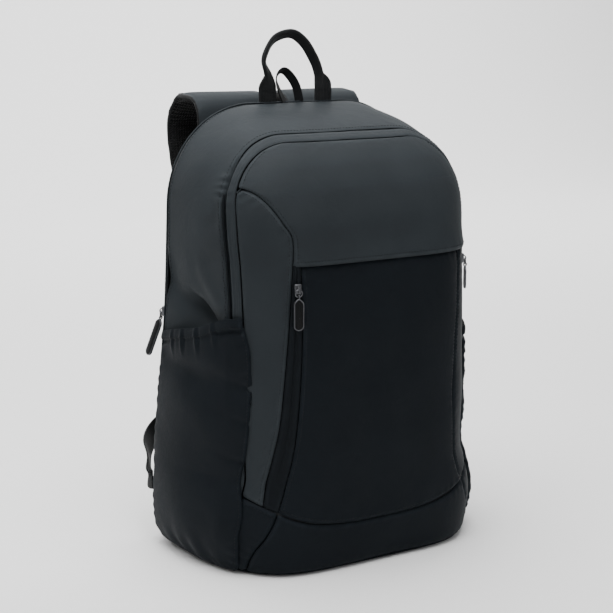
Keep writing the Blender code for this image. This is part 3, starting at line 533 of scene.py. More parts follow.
def new_material(name):
    material = bpy.data.materials.new(name)
    material.use_nodes = True
    tree = material.node_tree
    return material, tree, tree.nodes["Principled BSDF"]


def set_shader(shader, **values):
    for socket, value in values.items():
        shader.inputs[socket.replace("_", " ")].default_value = value


def finish_shader(tree, shader, colour=None, roughness=None, bumps=()):
    """Links colour, roughness and layers of bumps, each with its height, strength and depth."""
    normal = None
    for height, strength, depth in bumps:
        sockets = {"Strength": strength, "Distance": depth, "Height": height}
        if normal is not None:
            sockets["Normal"] = normal
        normal = add_node(tree, BUMP, {}, sockets).outputs[0]
    for socket, value in (("Base Color", colour), ("Roughness", roughness), ("Normal", normal)):
        if value is not None:
            tree.links.new(value, shader.inputs[socket])


def woven(tree, lengths, across, along, wander=0.0):
    """Yarns that run both ways, from their pitches in millimetres across and along the cloth."""
    ways = [
        add_node(
            tree,
            WAVE,
            {"wave_type": "BANDS", "bands_direction": way},
            {"Vector": lengths, "Scale": wave_scale(pitch), "Distortion": bend},
        )
        for way, pitch, bend in (("X", across, 0.0), ("Y", along, wander))
    ]
    both = {i: way.outputs[1] for i, way in enumerate(ways)}
    return add_node(tree, MATH, {"operation": "MULTIPLY"}, both).outputs[0]


def coated_polyester(name, colour, crease):
    """Woven polyester with a thin polyurethane coat: matte, and faintly milky when grazed.

    The weave is 0.45 mm in the real cloth, drawn at 0.9 mm so that it shows.
    """
    material, tree, shader = new_material(name)
    gloss = bpy.context.scene.backpack_colours.cloth_gloss
    place = add_node(tree, "ShaderNodeTexCoord", {}, {})
    solid = place.outputs["Object"]
    weave = woven(tree, place.outputs["UV"], 0.9, 0.9)
    grain = add_node(tree, NOISE, {}, {"Vector": solid, "Scale": per_metre(2.2), "Detail": 3.0})
    creased = {"Vector": solid, "Scale": per_metre(26.0), "Detail": 4.0}
    creases = add_node(tree, NOISE, {}, {**creased, "Roughness": 0.55, "Distortion": 0.6})
    clouds = add_node(tree, NOISE, {}, {"Vector": solid, "Scale": per_metre(70.0), "Detail": 2.0})
    tone = add_node(
        tree, MIX, RGBA, {0: clouds.outputs[0], 6: shaded(colour, 0.82), 7: shaded(colour, 1.20)}
    )
    rubbed = add_node(tree, "ShaderNodeAttribute", {"attribute_name": "rubbed"}, {})
    worn = add_node(
        tree, MIX, RGBA, {0: rubbed.outputs["Fac"], 6: tone.outputs[2], 7: shaded(colour, 1.75)}
    )
    roughness = add_node(
        tree, RANGE, {}, {"Value": grain.outputs[0], "To Min": gloss - 0.05, "To Max": gloss + 0.10}
    )
    bumps = (
        (weave, 0.55, 0.00006),
        (grain.outputs[0], 0.5, 0.00012),
        (creases.outputs[0], crease, 0.0020),
    )
    set_shader(shader, IOR=1.5, Specular_IOR_Level=0.06)
    set_shader(
        shader, Sheen_Weight=0.02, Sheen_Roughness=0.4, Sheen_Tint=(0.86, 0.93, 0.95, 1.0)
    )
    finish_shader(tree, shader, worn.outputs[2], roughness.outputs[0], bumps)
    return material


def nylon_webbing(name, colour, pitch):
    """Woven nylon webbing: ribs across the band, split by yarns that run along it."""
    material, tree, shader = new_material(name)
    place = add_node(tree, "ShaderNodeTexCoord", {}, {})
    weave = woven(tree, place.outputs["UV"], 1.3 * pitch, pitch, 0.8)
    solid = place.outputs["Object"]
    fuzz = add_node(tree, NOISE, {}, {"Vector": solid, "Scale": per_metre(1.6), "Detail": 3.0})
    tone = add_node(
        tree, MIX, RGBA, {0: weave, 6: shaded(colour, 0.55), 7: shaded(colour, 1.5)}
    )
    roughness = add_node(
        tree, RANGE, {}, {"Value": fuzz.outputs[0], "To Min": 0.62, "To Max": 0.82}
    )
    bumps = ((weave, 0.8, 0.0003), (fuzz.outputs[0], 0.4, 0.0002))
    set_shader(shader, IOR=1.53, Specular_IOR_Level=0.2, Sheen_Weight=0.08, Sheen_Roughness=0.4)
    finish_shader(tree, shader, tone.outputs[2], roughness.outputs[0], bumps)
    return material


def spacer_mesh(name, colour):
    """Knitted polyester spacer mesh: round holes 3 mm apart over dark foam, with painted shade in
    the hollows of the holes.
    """
    material, tree, shader = new_material(name)
    place = add_node(tree, "ShaderNodeAttribute", {"attribute_name": "knit"}, {})
    knit = place.outputs["Vector"]
    cells = add_node(
        tree,
        "ShaderNodeTexVoronoi",
        {"voronoi_dimensions": "2D", "feature": "F1"},
        {"Vector": knit, "Scale": per_metre(3.0), "Randomness": 0.0},
    )
    holes = add_node(
        tree,
        RANGE,
        {"interpolation_type": "SMOOTHSTEP"},
        {"Value": cells.outputs["Distance"], "From Min": 0.22, "From Max": 0.42},
    )
    fibre = add_node(tree, NOISE, {}, {"Vector": knit, "Scale": per_metre(0.9), "Detail": 3.0})
    # Holes at a quarter of the mesh colour: painted shade in their hollows over the foam.
    tone = add_node(
        tree, MIX, RGBA, {0: holes.outputs[0], 6: shaded(colour, 0.25), 7: shaded(colour, 1.3)}
    )
    bumps = ((holes.outputs[0], 1.0, 0.0009), (fibre.outputs[0], 0.5, 0.0002))
    set_shader(shader, Roughness=0.85, IOR=1.5, Specular_IOR_Level=0.15)
    set_shader(shader, Sheen_Weight=0.1, Sheen_Roughness=0.5)
    finish_shader(tree, shader, tone.outputs[2], None, bumps)
    return material


def plated_zinc(name, colour):
    """Die-cast zinc alloy under a dark nickel plating: polished, with fine rub marks."""
    material, tree, shader = new_material(name)
    solid = add_node(tree, "ShaderNodeTexCoord", {}, {}).outputs["Object"]
    rubs = add_node(tree, NOISE, {}, {"Vector": solid, "Scale": per_metre(1.5), "Detail": 4.0})
    roughness = add_node(
        tree, RANGE, {}, {"Value": rubs.outputs[0], "To Min": 0.20, "To Max": 0.42}
    )
    bumps = ((rubs.outputs[0], 0.3, 0.0001),)
    set_shader(shader, Base_Color=colour, Metallic=1.0)
    finish_shader(tree, shader, None, roughness.outputs[0], bumps)
    return material


def moulded_plastic(name, colour, rough, grain, shine):
    """Injection-moulded plastic or rubber with a fine spark-eroded grain."""
    # The cloth is the lighter of two lit and shaded copies of one coated fabric; the pockets, the
    # base and the right front side take the darker copy as painted shade.
    material, tree, shader = new_material(name)
    solid = add_node(tree, "ShaderNodeTexCoord", {}, {}).outputs["Object"]
    pits = add_node(tree, NOISE, {}, {"Vector": solid, "Scale": per_metre(grain), "Detail": 4.0})
    # Darker copy of the same coated cloth: painted shade for the pockets, the base, its corners,
    # the bottom and the right front side.
    tone = add_node(
        tree, MIX, RGBA, {0: pits.outputs[0], 6: shaded(colour, 0.85), 7: shaded(colour, 1.15)}
    )
    roughness = add_node(
        tree, RANGE, {}, {"Value": pits.outputs[0], "To Min": rough - 0.06, "To Max": rough + 0.10}
    )
    bumps = ((pits.outputs[0], 0.5, 0.0001),)
    set_shader(shader, IOR=1.48, Specular_IOR_Level=shine)
    finish_shader(tree, shader, tone.outputs[2], roughness.outputs[0], bumps)
    return material


def painted_floor(name, colour):
    """Smooth matt emulsion on a studio floor, with a faint roller texture."""
    material, tree, shader = new_material(name)
    solid = add_node(tree, "ShaderNodeTexCoord", {}, {}).outputs["Object"]
    roller = add_node(tree, NOISE, {}, {"Vector": solid, "Scale": per_metre(12.0), "Detail": 3.0})
    tone = add_node(
        tree, MIX, RGBA, {0: roller.outputs[0], 6: shaded(colour, 0.99), 7: shaded(colour, 1.01)}
    )
    set_shader(shader, Roughness=0.85, IOR=1.45, Specular_IOR_Level=0.2)
    finish_shader(tree, shader, tone.outputs[2])
    return material


# Each finish: its material's name, what makes it, its colour setting and what else it takes
FINISHES = {
    "cloth": ("pu_coated_polyester", coated_polyester, "cloth", 0.35),
    # Second, darker copy of the coated cloth: painted shade for the lower and right-hand panels.
    "lower cloth": ("dark_pu_coated_polyester", coated_polyester, "lower_cloth", 0.35),
    "tape": ("coated_zip_tape", coated_polyester, "tape", 0.10),
    "webbing": ("woven_nylon_webbing", nylon_webbing, "webbing", 1.4),
    "binding": ("grosgrain_binding", nylon_webbing, "webbing", 0.9),
    "mesh": ("knitted_spacer_mesh", spacer_mesh, "mesh"),
    "thread": ("bonded_nylon_thread", moulded_plastic, "thread", 0.7, 0.6, 0.12),
    "metal": ("dark_nickel_on_zinc", plated_zinc, "metal"),
    "rubber": ("soft_pvc_rubber", moulded_plastic, "rubber", 0.5, 0.7, 0.12),
    "acetal": ("moulded_acetal", moulded_plastic, "acetal", 0.42, 0.5, 0.35),
}


def finish_of(kind):
    """The material of a finish, made the first time that a piece needs it."""
    name, make, field, *settings = FINISHES[kind]
    colour = getattr(bpy.context.scene.backpack_colours, field)
    return bpy.data.materials.get(name) or make(name, (*colour, 1.0), *settings)


# Making cloth

# Grid of a sewn panel: shares, points, outward normals and distances to its four edges
Grid = namedtuple("Grid", "s t points normals left right low high")


def unit(vectors):
    return vectors / np.maximum(np.linalg.norm(vectors, axis=-1, keepdims=True), 1e-12)


def lengths_along(points, axis):
    steps = np.linalg.norm(np.diff(points, axis=axis), axis=-1)
    start = np.zeros_like(np.take(steps, [0], axis=axis))
    return np.concatenate((start, np.cumsum(steps, axis=axis)), axis=axis)


def crowded(share, crowd):
    """Moves shares towards both ends, where the cloth turns in."""
    return share - crowd * np.sin(2.0 * np.pi * share) / (2.0 * np.pi)


def measured_grid(s, t, points):
    """Grid of placed points with its normals outwards, and whether that turned them round."""
    normals = unit(np.cross(np.gradient(points, axis=1), np.gradient(points, axis=0)))
    flipped = np.sum(normals * (points - BODY_MIDDLE)) < 0
    if flipped:
        normals = -normals
    left = lengths_along(points, 1)
    low = lengths_along(points, 0)
    return Grid(s, t, points, normals, left, left[:, -1:] - left, low, low[-1:, :] - low), flipped


def plain_grid(columns, rows):
    """A unit grid's mesh, with its shares as rows of columns and the order of its vertices."""
    sheet = bmesh.new()
    bmesh.ops.create_grid(sheet, x_segments=columns, y_segments=rows, size=0.5)
    shares = np.array([vertex.co[:2] for vertex in sheet.verts]) + 0.5
    order = np.lexsort((np.round(shares[:, 0], 6), np.round(shares[:, 1], 6)))
    shape = (rows + 1, columns + 1)
    return sheet, order, shares[order, 0].reshape(shape), shares[order, 1].reshape(shape)


def ripples(points, wavelength, seed):
    """Smooth unevenness between -1 and 1 with about that wavelength."""
    generator = np.random.default_rng(seed)
    total = np.zeros(points.shape[:-1])
    for _ in range(7):
        direction = generator.normal(size=3)
        direction /= np.linalg.norm(direction)
        length = wavelength * generator.uniform(0.6, 1.5)
        phase = generator.uniform(0.0, 2.0 * np.pi)
        total += np.sin(2.0 * np.pi * (points @ direction) / length + phase)
    return total / 4.0


def bump_at(distance, width):
    return np.exp(-((distance / width) ** 2))


def smooth_step(value):
    value = np.clip(value, 0.0, 1.0)
    return value * value * (3.0 - 2.0 * value)


def in_mesh_order(order, values):
    """Values of a grid's places as one row for each vertex of its mesh."""
    rows = np.asarray(values, float).reshape(len(order), -1)
    placed = np.empty_like(rows)
    placed[order] = rows
    return placed


def grid_mesh(name, sheet, order, grid, flipped):
    """The mesh of a placed grid, with its own lengths in metres as its UV map."""
    mesh = bpy.data.meshes.new(name)
    sheet.to_mesh(mesh)
    sheet.free()
    mesh.vertices.foreach_set("co", in_mesh_order(order, grid.points).ravel())
    if flipped:
        mesh.flip_normals()
    lengths = in_mesh_order(order, np.stack((grid.left, grid.low), axis=-1))
    corners = np.empty(len(mesh.loops), dtype=np.int64)
    mesh.loops.foreach_get("vertex_index", corners)
    uv_map = mesh.uv_layers.new(name="cloth_lengths")
    uv_map.data.foreach_set("uv", lengths[corners].ravel())
    mesh.shade_smooth()
    mesh.update()
    return mesh


def add_piece(name, mesh, finishes, nodes=()):
    piece = bpy.data.objects.new(name, mesh)
    bpy.context.scene.collection.objects.link(piece)
    for finish in finishes:
        mesh.materials.append(finish_of(finish))
    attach(piece, "root")
    if nodes:
        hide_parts(*nodes)
    return piece


def add_wall(piece, thick, offset=-1.0):
    wall = piece.modifiers.new("wall", "SOLIDIFY")
    wall.thickness = thick
    wall.offset = offset


# How deep each edge of a panel turns in, as a number or as a function of the grid
Sewing = namedtuple("Sewing", "left right low high", defaults=(1.0, 1.0, 1.0, 1.0))


def sewn_panel(
    name,
    columns,
    rows,
    place,
    seed,
    sewing=Sewing(),
    pucker=1.0,
    ripple=0.00045,
    wavelength=0.055,
    relief=None,
    finish="cloth",
    crowd=(0.8, 0.8),
):
    """A hollow cloth panel whose edges turn in where it is sewn; returns its grid for stitches."""
    sizes = bpy.context.scene.backpack_sizes
    sheet, order, s, t = plain_grid(columns, rows)
    s = crowded(s, crowd[0])
    t = crowded(t, crowd[1])
    grid, flipped = measured_grid(s, t, place(s, t))
    raised = ripple * ripples(grid.points, wavelength, seed)
    rubbed = np.zeros_like(raised)
    for edge, depth in zip(Sewing._fields, sewing):
        away = getattr(grid, edge)
        along = grid.low if edge in ("left", "right") else grid.left
        depth = depth(grid) if callable(depth) else np.full_like(raised, depth)
        raised -= depth * sizes.roll_depth * np.exp(-((away / sizes.roll_run) ** 1.5))
        wobble = 1.5 * ripples(grid.points, PUCKER_WOBBLE, seed + 7)
        gather = np.sin(2.0 * np.pi * along / sizes.pucker_pitch + 3.0 * wobble)
        near = smooth_step(away / 0.0022) * bump_at(away, 0.0095)
        raised += depth * pucker * sizes.pucker_depth * near * gather
        rubbed = np.maximum(rubbed, np.minimum(depth, 1.0) * bump_at(away - 0.0028, 0.0016))
    if relief:
        raised = raised + relief(grid)
    rubbed *= 0.35 + 0.25 * ripples(grid.points, RUB_PATCH, seed + 3)
    grid = grid._replace(points=grid.points + grid.normals * raised[..., None])
    mesh = grid_mesh(name, sheet, order, grid, flipped)
    values = in_mesh_order(order, np.clip(rubbed, 0.0, 1.0)).ravel()
    mesh.attributes.new("rubbed", "FLOAT", "POINT").data.foreach_set("value", values)
    piece = add_piece(f"{name}_panel", mesh, [finish], [name])
    add_wall(piece, WALL)
    return grid


def edge_line(grid, edge, away, start=0.0, end=1.0):
    """Points and normals that keep a distance from one edge of a panel."""
    distances = getattr(grid, edge)
    points, normals = grid.points, grid.normals
    if edge in ("low", "high"):
        distances = distances.T
        points = points.transpose(1, 0, 2)
        normals = normals.transpose(1, 0, 2)
    lines = []
    for row, places, outs in zip(distances, points, normals):
        turn = 1 if row[0] < row[-1] else -1
        spots = [np.interp(away, row[::turn], places[::turn, i]) for i in range(3)]
        outward = [np.interp(away, row[::turn], outs[::turn, i]) for i in range(3)]
        lines.append(spots + outward)
    lines = np.array(lines)
    first, last = int(start * (len(lines) - 1)), int(end * (len(lines) - 1))
    return lines[first : last + 1, :3], lines[first : last + 1, 3:]


def stitch_row(name, lines):
    """Short lockstitches along lines, each half sunk in the cloth."""
    sizes = bpy.context.scene.backpack_sizes
    thread = bmesh.new()
    for points, normals in lines:
        lengths = lengths_along(points[None], 1)[0]
        count = int(lengths[-1] / sizes.stitch_pitch)
        for place in (np.arange(count) + 0.5) * sizes.stitch_pitch:
            middle, ahead, outward = [
                Vector([np.interp(place + shift, lengths, source[:, i]) for i in range(3)])
                for source, shift in ((points, 0.0), (points, 0.0008), (normals, 0.0))
            ]
            ahead = (ahead - middle).normalized()
            outward.normalize()
            across = outward.cross(ahead).normalized()
            turn = Matrix((ahead, across, outward)).transposed().to_4x4()
            size = Matrix.Diagonal((0.5 * sizes.stitch_length, THREAD, THREAD, 1.0))
            bmesh.ops.create_icosphere(
                thread,
                subdivisions=1,
                radius=1.0,
                matrix=Matrix.Translation(middle + outward * THREAD_PROUD) @ turn @ size,
            )
    mesh = bpy.data.meshes.new(name)
    thread.to_mesh(mesh)
    thread.free()
    mesh.shade_smooth()
    add_piece(name, mesh, ["thread"])


def ribbon(name, node, columns, rows, place, thick, finish):
    """A strap or tape with its middle on the placed surface and its edges rounded."""
    sheet, order, s, t = plain_grid(columns, rows)
    grid, flipped = measured_grid(s, t, place(s, t))
    mesh = grid_mesh(name, sheet, order, grid, flipped)
    piece = add_piece(name, mesh, [finish], [node])
    add_wall(piece, thick, 0.0)
    soft = piece.modifiers.new("edges", "BEVEL")
    soft.width = 0.28 * thick
    soft.segments = 2
    soft.limit_method = "ANGLE"
    soft.angle_limit = math.radians(50.0)


def tube(name, points, radius, finish, sides=8):
    """A closed round cord along the points."""
    sheet, order, s, t = plain_grid(sides, len(points) - 1)
    ahead = unit(np.gradient(points, axis=0))
    side = unit(np.cross(ahead, np.array((0.0, 1.0, 0.0))))
    lift = np.cross(side, ahead)
    angle = 2.0 * np.pi * s[..., None]
    turned = side[:, None] * np.cos(angle) + lift[:, None] * np.sin(angle)
    grid, _ = measured_grid(s, t, points[:, None] + radius * turned)
    mesh = grid_mesh(name, sheet, order, grid, False)
    closed = bmesh.new()
    closed.from_mesh(mesh)
    bmesh.ops.remove_doubles(closed, verts=closed.verts[:], dist=1e-6)
    bmesh.ops.holes_fill(closed, edges=closed.edges[:], sides=sides)
    bmesh.ops.recalc_face_normals(closed, faces=closed.faces[:])
    closed.to_mesh(mesh)
    closed.free()
    mesh.shade_smooth()
    add_piece(name, mesh, [finish])


# Body panels


def side_relief(grid):
    """Creases of the sides, and low ridges beside them."""
    u = 2.0 * grid.s - 1.0
    height = grid.points[..., 2] / HEIGHT
    raised = np.zeros_like(height)
    stretch = np.array((HEIGHT, 0.095))
    for crease in CREASES:
        start = np.array(crease.start) * stretch
        run = np.array(crease.end) * stretch - start
        place = np.stack((height, grid.t), axis=-1) * stretch - start
        share = np.clip((place @ run) / (run @ run), 0.0, 1.0)
        away = np.linalg.norm(place - share[..., None] * run, axis=-1)
        fade = 0.35 + 0.65 * np.sin(np.pi * np.clip(share, 0.08, 0.92))
        depth = crease.deep * fade * bump_at(away, crease.wide)
        raised -= np.where(u * crease.side > 0, depth, 0.0)
    return raised


def gusset_place(s, t):
    v = inset(t, EDGE_GAP, DEPTH * FRONT_SECTIONS[-1][2])
    return gusset_point(2.0 * s - 1.0, v)


def zip_ridges(middle):
    """A closed coil zip under its coated tape: a slit between two low ridges."""
    slit = -0.0008 * bump_at(middle, 0.0005)
    ridges = 0.00035 * bump_at(np.abs(middle) - 0.0017, 0.0008)
    return slit + ridges


def band_relief(grid):
    return zip_ridges(0.5 * (grid.low - grid.high))


def left_only(full, faint):
    """Depth of a seam that is pulled open on the left side and faint from the roof on."""

    def share(grid):
        u = 2.0 * grid.s - 1.0
        return faint + (full - faint) * smooth_step((-0.22 - u) / 0.16)

    return share


def strip_relief(grid):
    """The strip's zip shows as faint ridges on the left side and hardly at all on the roof."""
    middle = 0.5 * (grid.low - grid.high)
    ribs = 0.00022 * np.cos(2.0 * np.pi * middle / 0.0021)
    slit = -0.0005 * bump_at(middle, 0.0005)
    return (ribs + slit) * left_only(1.0, 0.35)(grid)


def laptop_rear_half(z):
    return back_half(z) - LAPTOP_NARROW


def zip_inner_half(z):
    return zip_half(z) - ZIP_BAND


def laptop_band_place(s, t):
    u = 2.0 * s - 1.0
    x_seam, z_seam, _ = arch_point(u, back_half, HEIGHT, BACK_CORNER)
    top, corner = HEIGHT - LAPTOP_NARROW, BACK_CORNER - LAPTOP_NARROW
    x_rear, z_rear, _ = arch_point(u, laptop_rear_half, top, corner)
    seam = spot(x_seam, back_y(z_seam), z_seam)
    rear = spot(x_rear, back_y(z_rear) + LAPTOP_BAND, z_rear)
    share = inset(t, EDGE_GAP, LAPTOP_BAND)[..., None]
    return seam + (rear - seam) * share


def main_strip_place(s, t):
    u = 2.0 * s - 1.0
    x_out, z_out, _ = arch_point(u, zip_half, ZIP_TOP, ZIP_CORNER)
    top, corner = ZIP_TOP - ZIP_BAND, ZIP_CORNER - ZIP_BAND_DRAW
    x_in, z_in, _ = arch_point(u, zip_inner_half, top, corner)
    share = inset(t, EDGE_GAP, ZIP_BAND)
    return front_point(x_out + (x_in - x_out) * share, z_out + (z_in - z_out) * share)


def upper_place(s, t):
    split = 0.5  # share of the rows beside the shoulder seam
    seam_top = ZIP_TOP * SHOULDER_SEAM[0][0]
    high = ZIP_TOP - ZIP_BAND - 0.5 * SEAM
    x_seam, z_seam = shoulder_seam_at(np.clip(1.0 - t / split, 0.0, 1.0))
    up = np.sin(0.5 * np.pi * np.clip((t - split) / (1.0 - split), 0.0, 1.0))
    z_up = seam_top + (high - seam_top) * up
    lower = t <= split
    z = np.where(lower, z_seam, z_up)
    x_left = np.where(lower, x_seam, -inner_zip_x(z_up))
    z = z - 0.0016 * bump_at(t, 0.04)
    return between(x_left, z, inner_zip_x(z), z, s)


def upper_relief(grid):
    """The flap's edge stands a little proud and the cloth above it hollows softly."""
    lip = 0.0026 * np.exp(-grid.low / 0.010) * smooth_step(grid.left / 0.012)
    hollow = -0.0009 * bump_at(grid.low - 0.022, 0.014)
    return lip + hollow


def side_left_place(s, t):
    top = ZIP_TOP * SHOULDER_SEAM[0][0]
    flap = ZIP_TOP * FLAP_HEIGHT
    low_left = ZIP_TOP * CORNER_TOP + 0.5 * EDGE_GAP
    low_right = ZIP_TOP * PLACKET_LEFT[-1][0] + 0.5 * EDGE_GAP
    split = 8.0 / 22.0  # share of the rows beside the shoulder seam
    t = np.maximum(t, 0.02)
    upper = t <= split
    share = np.clip(t / split, 0.0, 1.0)
    down = np.clip((t - split) / (1.0 - split), 0.0, 1.0)
    x_seam, z_seam = shoulder_seam_at(share)
    z_placket = flap + (low_right - flap) * down
    z_left = np.where(upper, top + (flap - top) * share, flap + (low_left - flap) * down)
    x_right = np.where(upper, x_seam, placket_left_x(z_placket))
    z_right = np.where(upper, z_seam, z_placket)
    return between(-inner_zip_x(z_left), z_left, x_right, z_right, s)


def side_right_place(s, t):
    t = inset(t, SEAM, ZIP_TOP * (FLAP_HEIGHT - CORNER_TOP))
    z_left = ZIP_TOP * (FLAP_HEIGHT + (POCKET_RIGHT[-1][0] - FLAP_HEIGHT) * t)
    z_right = ZIP_TOP * (FLAP_HEIGHT + (CORNER_TOP - FLAP_HEIGHT) * t)
    return between(pocket_right_x(z_left), z_left, inner_zip_x(z_right), z_right, s)


def placket_place(s, t):
    t = inset(t, SEAM, ZIP_TOP * (FLAP_HEIGHT - PLACKET_LEFT[-1][0]))
    z_left = ZIP_TOP * (FLAP_HEIGHT + (PLACKET_LEFT[-1][0] - FLAP_HEIGHT) * t)
    z_right = ZIP_TOP * (FLAP_HEIGHT + (PLACKET_RIGHT[-1][0] - FLAP_HEIGHT) * t)
    return between(placket_left_x(z_left), z_left, placket_right_x(z_right), z_right, s)


def placket_relief(grid):
    middle = 0.5 * (grid.left - grid.right)
    sunk = -0.0007 * smooth_step(np.minimum(grid.left, grid.right) / 0.003)
    fading = smooth_step(1.0 - (grid.t - 0.80) / 0.12)
    return sunk + zip_ridges(middle) * fading


def pocket_place(s, t):
    top = ZIP_TOP * FLAP_HEIGHT
    half = ZIP_HALF * POCKET_RIGHT[-1][1]
    t = inset(t, SEAM, top)
    z = top + (base_seam_z(half * (2.0 * s - 1.0)) - top) * t
    return between(placket_right_x(z), z, pocket_right_x(z), z, s)


def pocket_relief(grid):
    """Tucks under the flap, a slight fullness, and slack that gathers over the base seam."""
    tuck = -0.0024 * np.exp(-grid.low / 0.006)
    full = 0.0012 * np.sin(np.pi * grid.s) ** 0.7 * np.sin(np.pi * grid.t) ** 0.8
    slack = 0.0006 * bump_at(grid.high - 0.018, 0.010) * ripples(grid.points, 0.05, 31)
    return tuck + full + slack


def base_place(s, t):
    across = 2.0 * s - 1.0
    end = ZIP_HALF * abs(CORNER_SEAM[-1][1])
    high = base_seam_z(end * across) - 0.5 * SEAM
    z = FOOT + (high - FOOT) * t**1.2
    edge = corner_x(z)
    return between(edge, z, -edge, z, s)


def corner_place(side):
    def place(s, t):
        t = t**1.2
        inner_top = CORNER_SEAM[-1][0] * ZIP_TOP - 0.5 * EDGE_GAP
        outer_top = CORNER_TOP * ZIP_TOP - 0.5 * EDGE_GAP
        z_outer = FOOT + (outer_top - FOOT) * t
        z_inner = FOOT + (inner_top - FOOT) * t
        points = between(-inner_zip_x(z_outer), z_outer, corner_x(z_inner), z_inner, s)
        return points * np.array((-side, 1.0, 1.0))

    return place


def bottom_place(s, t):
    x = front_half(0.0) * np.sin(0.5 * np.pi * (2.0 * s - 1.0))
    front = front_y(x, 0.0)
    rear = back_y(0.0) + LAPTOP_BAND + PAD_EDGE
    y = front + (rear - front) * t
    draw = 1.0 + 0.012 * np.sin(np.pi * t)
    return spot(x * draw * 0.995, y, np.full_like(x, 0.0020))


def side_pocket(side, word, seed):
    """An open pocket with a gathered hem band on the side of the body."""
    hem = curve(POCKET_HEM, 1 if word == "left" else 2, 1.0, HEIGHT)

    def surface(along, z):
        sewn = np.abs(side_seam_x(z))
        front_q = 2.0 - np.minimum(sewn / front_half(z), POCKET_REACH)
        return side_point(side, z, along * front_q)

    def place(s, t):
        s = 1.0 - (1.0 - s) ** 1.25
        t = t**1.2
        z = FOOT + (hem(s) - FOOT) * t
        step = 0.002
        up = surface(s, z + step) - surface(s, z - step)
        on = surface(np.minimum(s + step, 1.0), z) - surface(np.maximum(s - step, 0.0), z)
        out = unit(np.cross(up, on))
        out = np.where(out[..., :1] * side < 0, -out, out)
        arch = np.clip(np.sin(np.pi * s), 0.0, 1.0)
        full = pocket_fullness(t) * arch**0.7
        stand = WALL + POCKET_CLEAR + POCKET_FILL * full
        return surface(s, z) + out * stand[..., None]

    def relief(grid):
        arch = np.clip(np.sin(np.pi * grid.s), 0.0, 1.0)
        across = grid.left / np.maximum(grid.left + grid.right, 1e-6)
        high, z = grid.high, grid.points[..., 2]
        # Tucks through the hem, its band and seam, and the creases at both of its ends
        tucks = np.zeros_like(across)
        for middle in (0.20, 0.34, 0.52, 0.71):
            lean = middle + 0.4 * high
            tucks += bump_at(across - lean, 0.016) - 0.6 * bump_at(across - lean - 0.034, 0.020)
        raised = 0.0019 * tucks * bump_at(high - 0.012, 0.011) * arch
        raised += 0.0006 * smooth_step((0.0105 - high) / 0.0015)
        raised -= 0.0005 * bump_at(high - 0.0108, 0.0008)
        raised -= 0.0030 * bump_at(high - 0.0120, 0.0026) * bump_at(across - 0.02, 0.13)
        raised -= 0.0030 * bump_at(high - 0.0125, 0.0028) * bump_at(across - 0.88, 0.15)
        # The slanting fold below the hem and the fullness under it
        slope = high - 0.022 - 0.048 * across
        raised -= 0.0038 * bump_at(slope, 0.013) * arch**0.5
        raised += 0.0018 * bump_at(slope - 0.032, 0.018) * arch
        # Pinches at the front seam, fainter on the right, and small folds over the foot
        quiet = 0.4 if side > 0 else 1.0
        for height, run in ((0.187, 0.016), (0.153, 0.013), (0.112, 0.018)):
            pinch = bump_at(z - height - 0.25 * grid.right, 0.0030) * np.exp(-grid.right / run)
            raised -= 0.0030 * quiet * pinch
        folds = np.sin(grid.left / 0.0042) * bump_at(grid.low - 0.020, 0.014)
        return raised + 0.0009 * folds * arch

    # The side pockets take the darker copy of the cloth as painted shade.
    return sewn_panel(
        f"side_pocket_{word}",
        120,
        150,
        place,
        seed,
        Sewing(left=1.2, right=1.5, low=1.0, high=0.25),
        pucker=1.3,
        ripple=0.0007,
        wavelength=0.045,
        relief=relief,
        finish="lower cloth",
        crowd=(0.6, 0.6),
    )


# Padded pieces


def fresh_mesh(piece):
    """The piece's mesh with its modifiers applied."""
    graph = bpy.context.evaluated_depsgraph_get()
    mesh = bpy.data.meshes.new_from_object(piece.evaluated_get(graph), depsgraph=graph)
    piece.modifiers.clear()
    old = piece.data
    piece.data = mesh
    bpy.data.meshes.remove(old)
    return mesh


def coordinates(mesh):
    flat = np.empty(3 * len(mesh.vertices))
    mesh.vertices.foreach_get("co", flat)
    return flat.reshape(-1, 3)


def puff_up(piece, voxel, pressure, cap):
    """Fills a closed form like foam under cloth: remesh, cloth under pressure, capped movement."""
    remesh = piece.modifiers.new("even", "REMESH")
    remesh.mode = "VOXEL"
    remesh.voxel_size = voxel
    mesh = fresh_mesh(piece)
    rest = coordinates(mesh)
    cloth = piece.modifiers.new("stuffed", "CLOTH")
    cloth.settings.use_pressure = True
    cloth.settings.uniform_pressure_force = pressure
    cloth.settings.effector_weights.gravity = 0.0
    cloth.point_cache.frame_start = 1
    cloth.point_cache.frame_end = CLOTH_FRAMES
    scene = bpy.context.scene
    for step in range(1, CLOTH_FRAMES + 1):
        scene.frame_set(step)
    graph = bpy.context.evaluated_depsgraph_get()
    moved = coordinates(piece.evaluated_get(graph).data) - rest
    piece.modifiers.clear()
    scene.frame_set(1)
    reach = np.linalg.norm(moved, axis=1, keepdims=True)
    moved *= np.minimum(1.0, cap / np.maximum(reach, 1e-9))
    mesh.vertices.foreach_set("co", (rest + moved).ravel())
    mesh.update()


def refine(piece):
    """One subdivision, kept in the mesh."""
    finer = piece.modifiers.new("finer", "SUBSURF")
    finer.levels = 1
    finer.render_levels = 1
    return fresh_mesh(piece)


def closed_pad(name, front, rear, columns, rows):
    """A closed thick form between two placed sheets with the same grid."""
    sheet, order, s, t = plain_grid(columns, rows)
    for vertex, place in zip(sheet.verts, in_mesh_order(order, front(s, t))):
        vertex.co = place
    made = bmesh.ops.extrude_face_region(sheet, geom=sheet.faces[:], use_keep_orig=True)
    added = [item for item in made["geom"] if isinstance(item, bmesh.types.BMVert)]
    for vertex, place in zip(added, in_mesh_order(order, rear(s, t))):
        vertex.co = place
    bmesh.ops.recalc_face_normals(sheet, faces=sheet.faces[:])
    mesh = bpy.data.meshes.new(name)
    sheet.to_mesh(mesh)
    sheet.free()
    return mesh


